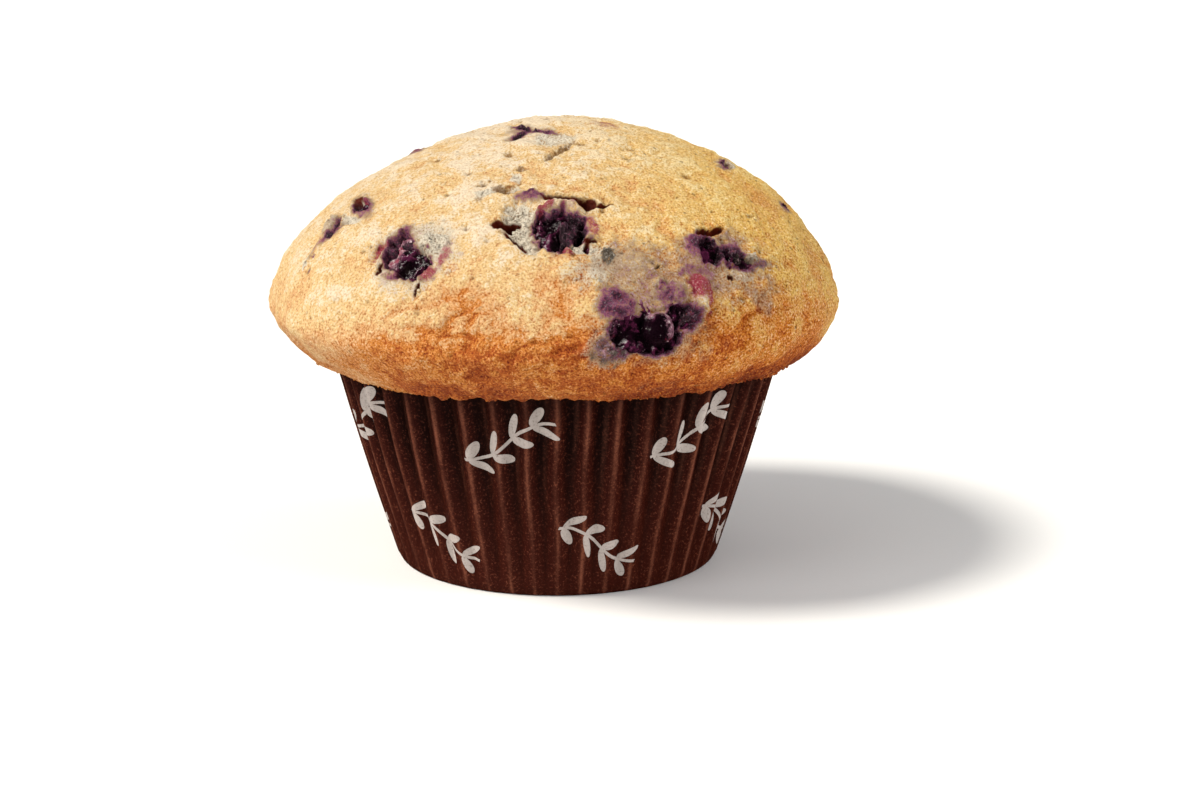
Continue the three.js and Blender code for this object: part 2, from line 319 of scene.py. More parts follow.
class MaterialDraft(Draft):
    """A material under construction, with its patterns on object coordinates."""

    def __init__(self, name: str, *masks: str) -> None:
        """Makes the material and reads what its patterns are drawn from.

        Args:
            name: the real material's name.
            masks: names of numbers that the piece's mesh holds for each vertex.
        """
        self.material = bpy.data.materials.new(name)
        self.material.use_nodes = True
        super().__init__(self.material.node_tree)
        self.tree.nodes.clear()
        self.place = self.add("ShaderNodeTexCoord").other("Object")
        self.masks = {mask: self.add("ShaderNodeAttribute", attribute_name=mask).other("Fac")
                      for mask in masks}

    def noise(self, size_mm: float, place: Output | None = None, **inputs: float) -> Output:
        """Noise around zero.

        Args:
            size_mm: what a lump of it measures.
            place: coordinates, or None for the object's own.
            inputs: the noise node's other inputs.

        Returns:
            The noise.
        """
        named = {"Scale": per_metre(size_mm), **{name.capitalize(): value for name, value in inputs.items()}}
        return self.add(NOISE, place or self.place, named=named) - 0.5

    def paint(self, colour: str | Output, *coats: tuple) -> Output:
        """Lays coats of colour over a first one.

        Args:
            colour: the first colour.
            coats: how far each covers what lies under it, and its colour.

        Returns:
            The colour on top.
        """
        for cover, tone in coats:
            colour = self.add(MIX, cover, colour, tone)
        return colour

    def finish(self, height: Output, bump_mm: float, strength: float = 1.0,
               **inputs: float | Output) -> Material:
        """Ends the tree in its shader.

        Args:
            height: relief that is too fine for the mesh.
            bump_mm: how high the relief stands.
            strength: how much of the relief's tilt is kept.
            inputs: the shader's inputs, with _ for a space.

        Returns:
            The material.
        """
        bump = self.add("ShaderNodeBump", strength, bump_mm * MM, named={"Height": height})
        named = {name.replace("_", " "): value for name, value in inputs.items()}
        shader = self.add("ShaderNodeBsdfPrincipled", named={**named, "Normal": bump})
        add_node(self.tree, "ShaderNodeOutputMaterial", shader)
        return self.material


class GeometryDraft(Draft):
    """A geometry node tree under construction, with named sizes as its inputs."""

    def __init__(self, name: str, sizes: dict[str, float | int]) -> None:
        """Makes the tree with an input for each size.

        Args:
            name: the tree's name.
            sizes: the value that each input gets; a whole number makes an input for whole numbers.
        """
        super().__init__(bpy.data.node_groups.new(name, "GeometryNodeTree"))
        self.sizes = sizes
        kinds = {"Geometry": "NodeSocketGeometry"}
        for size, value in sizes.items():
            kinds[size] = "NodeSocketInt" if isinstance(value, int) else "NodeSocketFloat"
        for size, kind in kinds.items():
            self.tree.interface.new_socket(size, in_out="INPUT", socket_type=kind)
        self.tree.interface.new_socket("Geometry", in_out="OUTPUT", socket_type="NodeSocketGeometry")
        self.given = self.add("NodeGroupInput")

    def size(self, name: str) -> Output:
        """One of the named sizes."""
        return self.given.other(name)

    def bake(self, source: Object, geometry: Output, material: Material, name: str) -> Object:
        """Ends the tree, runs it on an object and keeps the result as a plain mesh object.

        Args:
            source: the object that the tree starts from; it is removed afterwards.
            geometry: the finished geometry.
            material: what it is dressed with.
            name: the new piece's name.

        Returns:
            The new object.
        """
        whole = self.add("GeometryNodeRealizeInstances", geometry)
        dressed = self.add("GeometryNodeSetMaterial", whole, named={"Material": material})
        add_node(self.tree, "NodeGroupOutput", dressed)
        modifier = source.modifiers.new(self.tree.name, "NODES")
        modifier.node_group = self.tree
        for item in self.tree.interface.items_tree:
            if item.item_type == "SOCKET" and item.in_out == "INPUT" and item.name in self.sizes:
                modifier[item.identifier] = self.sizes[item.name]
        graph = bpy.context.evaluated_depsgraph_get()
        mesh = bpy.data.meshes.new_from_object(source.evaluated_get(graph))
        mesh.name = name
        mesh.shade_smooth()
        source.modifiers.remove(modifier)
        bpy.data.objects.remove(source)
        return link_object(name, mesh)


# ---- Finishes ----

@dataclass(frozen=True)
class CrustFinish:
    """Baked muffin crust: dry, coarse-grained and golden, browner where it was hottest.

    Its grain has painted highlights, tiny sparks on its high points, and painted shade on its low points
    and in its pits; the side away from the lamp and the deep tears are painted in shade too. Beside the
    berries the crumb is laid bare, warm grey where it stayed dry and mauve to crimson where juice soaked
    it. The grain is drawn about twice as coarse as the real one, so that it shows.
    """

    pale: str = "#F4E1C3"
    bakes: tuple[tuple[float, float, str], ...] = (  # from browning, to browning, and the colour reached
        (0.0, 0.22, "#EDCA8E"), (0.22, 0.42, "#E4AE74"), (0.42, 0.62, "#DA8A3A"), (0.62, 0.82, "#BC6022"),
        (0.85, 1.1, "#983E12"))
    # painted shade in pores, pits and cracks, olive-brown
    pit: str = "#7E5220"
    crumb: str = "#DCC8A6"
    cold: str = "#E6DCC8"
    cold_pore: str = "#887C6C"
    stains: tuple[str, ...] = ("#AA8E70", "#8E4A6C", "#422036", "#1A0812")  # from a tinge to soaked
    blush: str = "#9C3648"
    # painted shade in deep tears, dark red-brown
    scorch: str = "#5C1A08"
    fragment: str = "#5C5449"
    olive: str = "#FFF3B4"  # painted shade: the tint that the side away from the lamp is filtered to
    # The next four colours are painted light: painted shade on the grain's low points, and painted highlights
    # (sparks) on its high points, pinkish where juice soaked it and orange on brown crust.
    shadow: str = "#B47E44"
    spark: str = "#FFF0DE"
    juice_spark: str = "#CFA2B2"
    brown_spark: str = "#EE9C4C"
    grain_mm: float = 0.37
    speck_mm: float = 1.3
    patch_mm: float = 6.0
    pore_mm: float = 1.5  # mean distance between fine pores
    largest_pore: float = 0.22  # of that distance
    bump_mm: float = 0.6

    def material(self) -> Material:
        """Builds the node material.

        Returns:
            The material.
        """
        draft = MaterialDraft("baked_crust", "browning", "relief", "olive", "pit", "torn", "cold",
                              "juice", "blush", "scorch", "fragment")
        grain = draft.noise(self.grain_mm, detail=4.0, roughness=0.7)
        specks = draft.noise(self.speck_mm, detail=4.0, roughness=0.7)
        patches = draft.noise(self.patch_mm, detail=4.0, roughness=0.6)
        shaded = draft.masks["olive"]
        hollow = self.hollows(draft, grain, specks, shaded)
        baked = draft.masks["browning"] + patches * 0.6 + specks * 0.65 - grain * 0.75
        # Painted light and shade of the relief: paler on raised lumps, browner in hollows.
        baked -= draft.masks["relief"] * 0.19
        colour = draft.paint(self.pale, *((draft.add(MAP_RANGE, baked, low, high), tone)
                                          for low, high, tone in self.bakes))
        # Painted shade: the side away from the lamp is filtered to a darker, yellower tone.
        filtered = draft.add(MIX, 1.0, colour, self.olive, blend_type="MULTIPLY")
        # Painted shade in the pores, pits and cracks.
        colour = draft.paint(colour, (shaded, filtered), (hollow * 0.75, self.pit))
        colour = self.stained(draft, colour, specks + grain * 1.3)
        # How strong the grain's painted shade and painted highlights are: more on brown crust and on the side
        # away from the lamp.
        grain_light_strength = draft.add(MAP_RANGE, baked, 0.15, 0.7, 0.55, 1.0) + shaded * 0.35
        # Painted shade on the grain's low points.
        dim = draft.add(MAP_RANGE, grain, -0.2, 0.04, 1.0, 0.0) * grain_light_strength
        shade = draft.paint("#FFFFFF", (dim, self.shadow))
        colour = draft.add(MIX, 1.0, colour, shade, blend_type="MULTIPLY")
        juicy = draft.add(MAP_RANGE, draft.masks["juice"], 0.4, 0.65)
        # Painted highlights on the grain's high points.
        spark = draft.paint(self.spark, (draft.add(MAP_RANGE, baked, 0.25, 0.8), self.brown_spark),
                            (juicy, self.juice_spark))
        # No painted highlights in a tear's painted shade.
        outside_gash_shade = draft.add(MAP_RANGE, draft.masks["scorch"], 0.1, 0.5, 1.0, 0.0)
        bright = draft.add(MAP_RANGE, grain, 0.03, 0.18, 0.0, 0.65) * outside_gash_shade * grain_light_strength
        return draft.finish(
            grain + specks * 0.8 - hollow * 0.25, self.bump_mm,
            Base_Color=draft.paint(colour, (bright, spark)),
            Roughness=draft.add(MAP_RANGE, draft.masks["juice"], 0.2, 0.9, 0.6, 0.42),
            IOR=1.45, Specular_IOR_Level=0.25)

    def hollows(self, draft: MaterialDraft, grain: Output, specks: Output, shaded: Output) -> Output:
        """Painted shade in fine pores, more of them on the side away from the lamp, and on the floors of the
        mesh's own pits and cracks.

        Args:
            draft: the material.
            grain: the finest noise.
            specks: noise of middling size.
            shaded: how far a place lies on the side away from the lamp.

        Returns:
            1 in a hollow and 0 beside it.
        """
        pores = draft.add("ShaderNodeTexVoronoi", named={
            "Vector": draft.place, "Scale": per_metre(self.pore_mm), "Randomness": 1.0})
        size = draft.add("ShaderNodeSeparateColor", pores.other("Color"))
        edge = draft.add(MAP_RANGE, size, 0.3, 1.0, 0.0, self.largest_pore)
        pore = draft.add(MATH, pores + grain * 0.3, edge, operation="LESS_THAN") * (shaded * 0.5 + 0.4)
        pit = draft.add(MAP_RANGE, draft.masks["pit"] + specks * 1.6, 0.3, 0.9)
        return draft.add(MATH, pore, pit, operation="MAXIMUM")

    def stained(self, draft: MaterialDraft, colour: Output, dither: Output) -> Output:
        """Bare crumb, juice, the painted shade of deep tears, and scraps of skin over the crust's colour.

        Args:
            draft: the material.
            colour: the crust's colour.
            dither: noise that makes the outlines ragged.

        Returns:
            The colour with its stains.
        """
        cold = draft.paint(self.cold_pore, (draft.add(MAP_RANGE, dither, -0.35, 0.12), self.cold))
        for name, low, high, raggedness, tone in (
                ("torn", 0.25, 0.75, 0.9, self.crumb), ("cold", 0.12, 0.6, 0.7, cold),
                ("juice", 0.1, 0.55, 0.6, self.stains[0]), ("juice", 0.48, 0.74, 1.0, self.stains[1]),
                ("juice", 0.68, 0.9, 1.0, self.stains[2]), ("juice", 0.86, 1.0, 0.7, self.stains[3]),
                ("blush", 0.3, 0.85, 1.4, self.blush), ("scorch", 0.25, 0.8, 0.6, self.scorch),
                ("fragment", 0.3, 0.75, 1.6, self.fragment)):
            value = draft.masks[name]
            ragged = draft.add(MAP_RANGE, value + dither * raggedness, low, high)
            colour = draft.paint(colour, (ragged * draft.add(MAP_RANGE, value, 0.0, 0.15, 0.0, 1.0), tone))
        return colour


@dataclass(frozen=True)
class BerryFinish:
    """Burst, cooked berry: wet, nearly black skin folded over dark red pulp, with small sharp highlights."""

    skin: str = "#11050B"
    flesh: str = "#561E3C"
    mauve: str = "#845868"
    bright: str = "#8C2440"
    # pale specks: clinging crumbs, and painted glints on the wet skin
    crumb_and_glint: str = "#CFC2BE"
    wrinkle_mm: float = 0.7
    fold_mm: float = 2.2
    bump_mm: float = 0.12

    def material(self) -> Material:
        """Builds the node material.

        Returns:
            The material.
        """
        draft = MaterialDraft("cooked_berry", "crest", "edge")
        fine = draft.noise(self.wrinkle_mm, detail=5.0, roughness=0.65, distortion=1.2)
        uneven = draft.noise(self.fold_mm, detail=4.0, roughness=0.65)
        edge = draft.masks["edge"]
        height = draft.masks["crest"] + fine * 0.8 + uneven
        outer = edge + fine * 1.8 + uneven * 1.6
        red = edge - uneven * 2.8
        # Where the pale specks go: clinging crumbs and painted glints.
        crumbs = uneven + edge * 0.4 + fine * 2.6
        # Dark skin in the creases and the fallen core, purple flesh on the folds' tops: the skin's own
        # colour, with painted shade in the creases.
        colour = draft.paint(
            self.skin, (draft.add(MAP_RANGE, height, 0.2, 0.7), self.flesh),
            (draft.add(MAP_RANGE, outer, 0.5, 0.9, 0.0, 0.9), self.mauve),
            (draft.add(MAP_RANGE, red, 0.85, 1.2, 0.0, 0.75), self.bright),
            (draft.add(MAP_RANGE, crumbs, 0.53, 0.66, 0.0, 0.8), self.crumb_and_glint))
        return draft.finish(
            fine, self.bump_mm, Base_Color=colour, IOR=1.5, Specular_IOR_Level=0.6,
            Roughness=draft.add(MAP_RANGE, edge, 0.0, 1.0, 0.1, 0.3))


@dataclass(frozen=True)
class CasePaperFinish:
    """Greaseproof baking paper, dyed dark brown and pleated hot.

    Its fibres, drawn coarser than the real ones so that they show, fleck it with dull red. Its crests
    carry a painted highlight and its valleys painted shade; painted shade darkens it towards the top,
    under the cake's lip, and it is paler towards the foot.
    """

    # painted shade in the pleats' valleys and under the lip, and the dark of the fibres
    valley_shade_and_fibre: str = "#180503"
    face: str = "#300C06"
    # paler tone towards the foot
    paler_part: str = "#3A130A"
    # painted highlight along the crests
    ridge: str = "#8E543F"
    fleck: str = "#76402E"
    print_grey: str = "#B8AEA8"
    fibre_mm: float = 0.4
    stain_mm: float = 9.0
    streak_mm: float = 4.0
    bump_mm: float = 0.12
    bump_strength: float = 0.6
    sprigs_around: int = 7
    sprig_rows: int = 2
    leaf_pairs: int = 4
    leaf_spacing: float = 4.1
    sprig_tilt: float = 26.0  # degrees
    sprig_bow: float = 1.0
    leaf_half: tuple[float, float] = (1.95, 0.72)
    leaf_offset: float = 1.6  # of a leaf's middle from the stem
    stem_half: float = 0.28
    mean_radius_share: float = 0.86  # radius at half the case's height, of the one at its top

    def sprigs(self, draft: MaterialDraft, rise: Output) -> Output:
        """Printed leafy sprigs in staggered rows, leaning left and right by turns.

        Args:
            draft: the material.
            rise: share of the case's height.

        Returns:
            1 in the print and 0 beside it.
        """
        add = draft.add

        def centred(cells: Output, width: float) -> Output:
            """Distance from the middle of the cell that a value counted in cells falls in."""
            return (add(MATH, cells, operation="FRACT") - 0.5) * width

        low, high = node_box("paper_case")
        girth = math.pi * float((high - low)[:2].mean()) * self.mean_radius_share
        x = add("ShaderNodeSeparateXYZ", draft.place)
        row = rise * float(self.sprig_rows)
        row_number = add(MATH, row, operation="FLOOR")
        turn = add(MATH, x.other("Y"), x, operation="ARCTAN2") * (self.sprigs_around / TAU)
        across = centred(turn + row_number * 0.5, girth / self.sprigs_around)
        up = centred(row, float(high[2]) / self.sprig_rows) * (row_number * 2.0 - 1.0)
        tilt = math.radians(self.sprig_tilt)
        along = across * math.cos(tilt) + up * math.sin(tilt)
        aside = up * math.cos(tilt) - across * math.sin(tilt)
        length = self.leaf_pairs * self.leaf_spacing
        bow = add(MATH, along * (TAU / length), operation="SINE") * self.sprig_bow
        off_stem = add(MATH, aside - bow, operation="ABSOLUTE")
        beside = centred(along / self.leaf_spacing, self.leaf_spacing)
        outwards = off_stem - self.leaf_offset
        lengthwise = (beside + outwards) * (math.sqrt(0.5) / self.leaf_half[0])
        sidewise = (beside - outwards) * (math.sqrt(0.5) / self.leaf_half[1])
        oval = lengthwise * lengthwise + sidewise * sidewise
        stem, leaf, inside = (
            add(MATH, value, limit, operation="LESS_THAN")
            for value, limit in ((off_stem, self.stem_half), (oval, 1.0),
                                 (add(MATH, along, operation="ABSOLUTE"), length / 2)))
        return add(MATH, stem, leaf, operation="MAXIMUM") * inside

    def material(self) -> Material:
        """Builds the node material.

        Returns:
            The material.
        """
        draft = MaterialDraft("brown_greaseproof_paper", "crest", "rise", "ridge")
        add = draft.add
        fibre, stain = (draft.noise(size, detail=4.0, roughness=0.75)
                        for size in (self.fibre_mm, self.stain_mm))
        upright = add("ShaderNodeMapping", named={"Vector": draft.place, "Scale": (1.0, 1.0, 0.2)})
        streaks = draft.noise(self.streak_mm, upright, detail=2.0)
        crest, rise = draft.masks["crest"], draft.masks["rise"]
        # 1 at the foot and 0 high up: the paper is paler towards the foot.
        low_down = add(MAP_RANGE, rise + stain * 0.6, 0.0, 0.8, 1.0, 0.0)
        open_face = crest + fibre * 0.5 + low_down * 0.2
        # Painted highlight along the crests, uneven with the paper's stains and fibres.
        crest_highlight = draft.masks["ridge"] * add(MAP_RANGE, stain, -0.3, 0.25, 0.4, 0.9)
        crest_highlight *= add(MAP_RANGE, streaks, -0.15, 0.15, 0.25, 1.0)
        crest_highlight *= add(MAP_RANGE, fibre, -0.2, 0.1, 0.4, 1.0)
        flecks = add(MAP_RANGE, fibre, 0.03, 0.18) * add(MAP_RANGE, crest, 0.0, 0.8, 0.3, 0.8)
        # Painted shade under the cake's lip, darker towards the top.
        lip_shade = add(MAP_RANGE, rise + stain * 0.3, 0.78, 1.0, 0.0, 0.55)
        ink = self.sprigs(draft, rise) * add(MAP_RANGE, fibre, -0.3, 0.1, 0.6, 0.92)
        # The valleys get painted shade, darker where the pleat folds in.
        colour = draft.paint(
            self.valley_shade_and_fibre, (add(MAP_RANGE, open_face, -0.05, 0.7), self.face), (low_down * 0.75, self.paler_part),
            (crest_highlight, self.ridge), (flecks, self.fleck), (lip_shade, self.valley_shade_and_fibre), (ink, self.print_grey),
            (add(MAP_RANGE, fibre, -0.28, -0.06, 0.75, 0.0), self.valley_shade_and_fibre))
        return draft.finish(
            fibre, self.bump_mm, self.bump_strength, Base_Color=colour, Roughness=0.6, IOR=1.4,
            Specular_IOR_Level=0.08)


@dataclass(frozen=True)
class FloorFinish:
    """Matt white studio board, painted and quite smooth, so it shows only the shadow."""

    white: str = "#FBFBFA"

    def material(self) -> Material:
        """Builds the node material.

        Returns:
            The material.
        """
        draft = MaterialDraft("white_board")
        shader = draft.add("ShaderNodeBsdfPrincipled", named={"Base Color": self.white, "Roughness": 0.6})
        add_node(draft.tree, "ShaderNodeOutputMaterial", shader)
        return draft.material


# ---- Berries' places and their marks on the crust ----

class MarkKind(Enum):
    """What a mark does to the crust."""

    BED = "bed"  # the hollow in which berry shows
    GASH = "gash"  # a narrow, deep tear, with dark red-brown painted shade in it
    CRUMB = "crumb"  # crumb laid bare, grey beside a berry
    JUICE = "juice"  # brown to purple stain
    BLUSH = "blush"  # crimson stain
    FOLD = "fold"  # a raised lump of batter
    FRAGMENT = "fragment"  # a scrap of dark berry skin


BED, GASH, CRUMB = MarkKind.BED, MarkKind.GASH, MarkKind.CRUMB
JUICE, BLUSH, FOLD, FRAGMENT = MarkKind.JUICE, MarkKind.BLUSH, MarkKind.FOLD, MarkKind.FRAGMENT


@dataclass(frozen=True)
class Mark:
    """One mark on the crust, an uneven ellipse beside a berry.

    at is its middle across and up the slope from the berry's, and size its full widths, in
    millimetres. turn is in degrees against the clock. lift is how far it sinks or rises.
    """

    kind: MarkKind
    at: tuple[float, float]
    size: tuple[float, float]
    turn: float = 0.0
    lift: float = 0.0
    strength: float = 1.0


@dataclass
class BerrySite:
    """One berry and its marks on the crust.

    size is its width across, up the slope and into the crust. sunk says how deep its middle lies, and
    dent how far its top has fallen in.
    """

    node: str
    size: tuple[float, float, float]
    sunk: float
    dent: float
    marks: tuple[Mark, ...] = ()
    core: tuple[float, float, float, float] | None = None  # fallen, darkest part: across, up, width, height
    lobes: tuple[tuple[float, float, float, float], ...] = ()  # round swellings: across, up, radius, rise
    origin: np.ndarray = field(default_factory=lambda: np.zeros(3))
    axes: np.ndarray = field(default_factory=lambda: np.eye(3))

    def local(self, points: np.ndarray) -> np.ndarray:
        """Places of points across, up the slope and out of the crust, from the berry's place."""
        return (points - self.origin) @ self.axes.T

def natural_marks(width: float, height: float, seed: int) -> tuple[Mark, ...]:
    """Marks around a berry on the hidden side, laid out by a rule.

    Args:
        width: of the berry, across.
        height: of the berry, up the slope.
        seed: of the random draw.

    Returns:
        The marks: a bed, bare crumb on one side, stains on the other, and a tear or two.
    """
    random = np.random.default_rng(seed)
    side = random.uniform(0, TAU)
    scale = (width + height) / 2

    def around(turn: float, reach: float) -> tuple[float, float]:
        """A place beside the berry, at a share of its half width."""
        return (math.cos(side + turn) * reach * width / 2, math.sin(side + turn) * reach * height / 2)

    return (
        Mark(JUICE, (0, 0), (width * 1.5, height * 1.45), 0, 0, 0.4),
        Mark(CRUMB, (0, 0), (width * 1.45, height * 1.4), 0, -0.2, 0.4),
        Mark(CRUMB, around(0.3, 0.9), (scale * 0.7, scale * 0.6), math.degrees(side) + 90, -1.0),
        Mark(BED, around(0, 0.12), (width * 0.84, height * 0.8), random.uniform(-25, 25), -3.2),
        Mark(CRUMB, around(2.5, 0.9), (scale * 0.4, scale * 0.36), 0, -0.5, 0.7),
        Mark(JUICE, around(math.pi, 0.85), (scale * 0.7, scale * 0.55), math.degrees(side) + 90, 0.3, 0.7),
        Mark(BLUSH, around(-1.6, 0.95), (scale * 0.4, scale * 0.26), math.degrees(side), 0.1, 0.6),
        Mark(GASH, around(1.3, 1.1), (scale * 0.55, scale * 0.14), math.degrees(side) + 20, -1.8),
    )


def hidden_site(
        node: str, size: tuple[float, float, float], sunk: float, dent: float, seed: int) -> BerrySite:
    """A berry on the side that is seldom seen, with marks laid out by the rule."""
    return BerrySite(node, size, sunk, dent, natural_marks(size[0], size[1], seed))


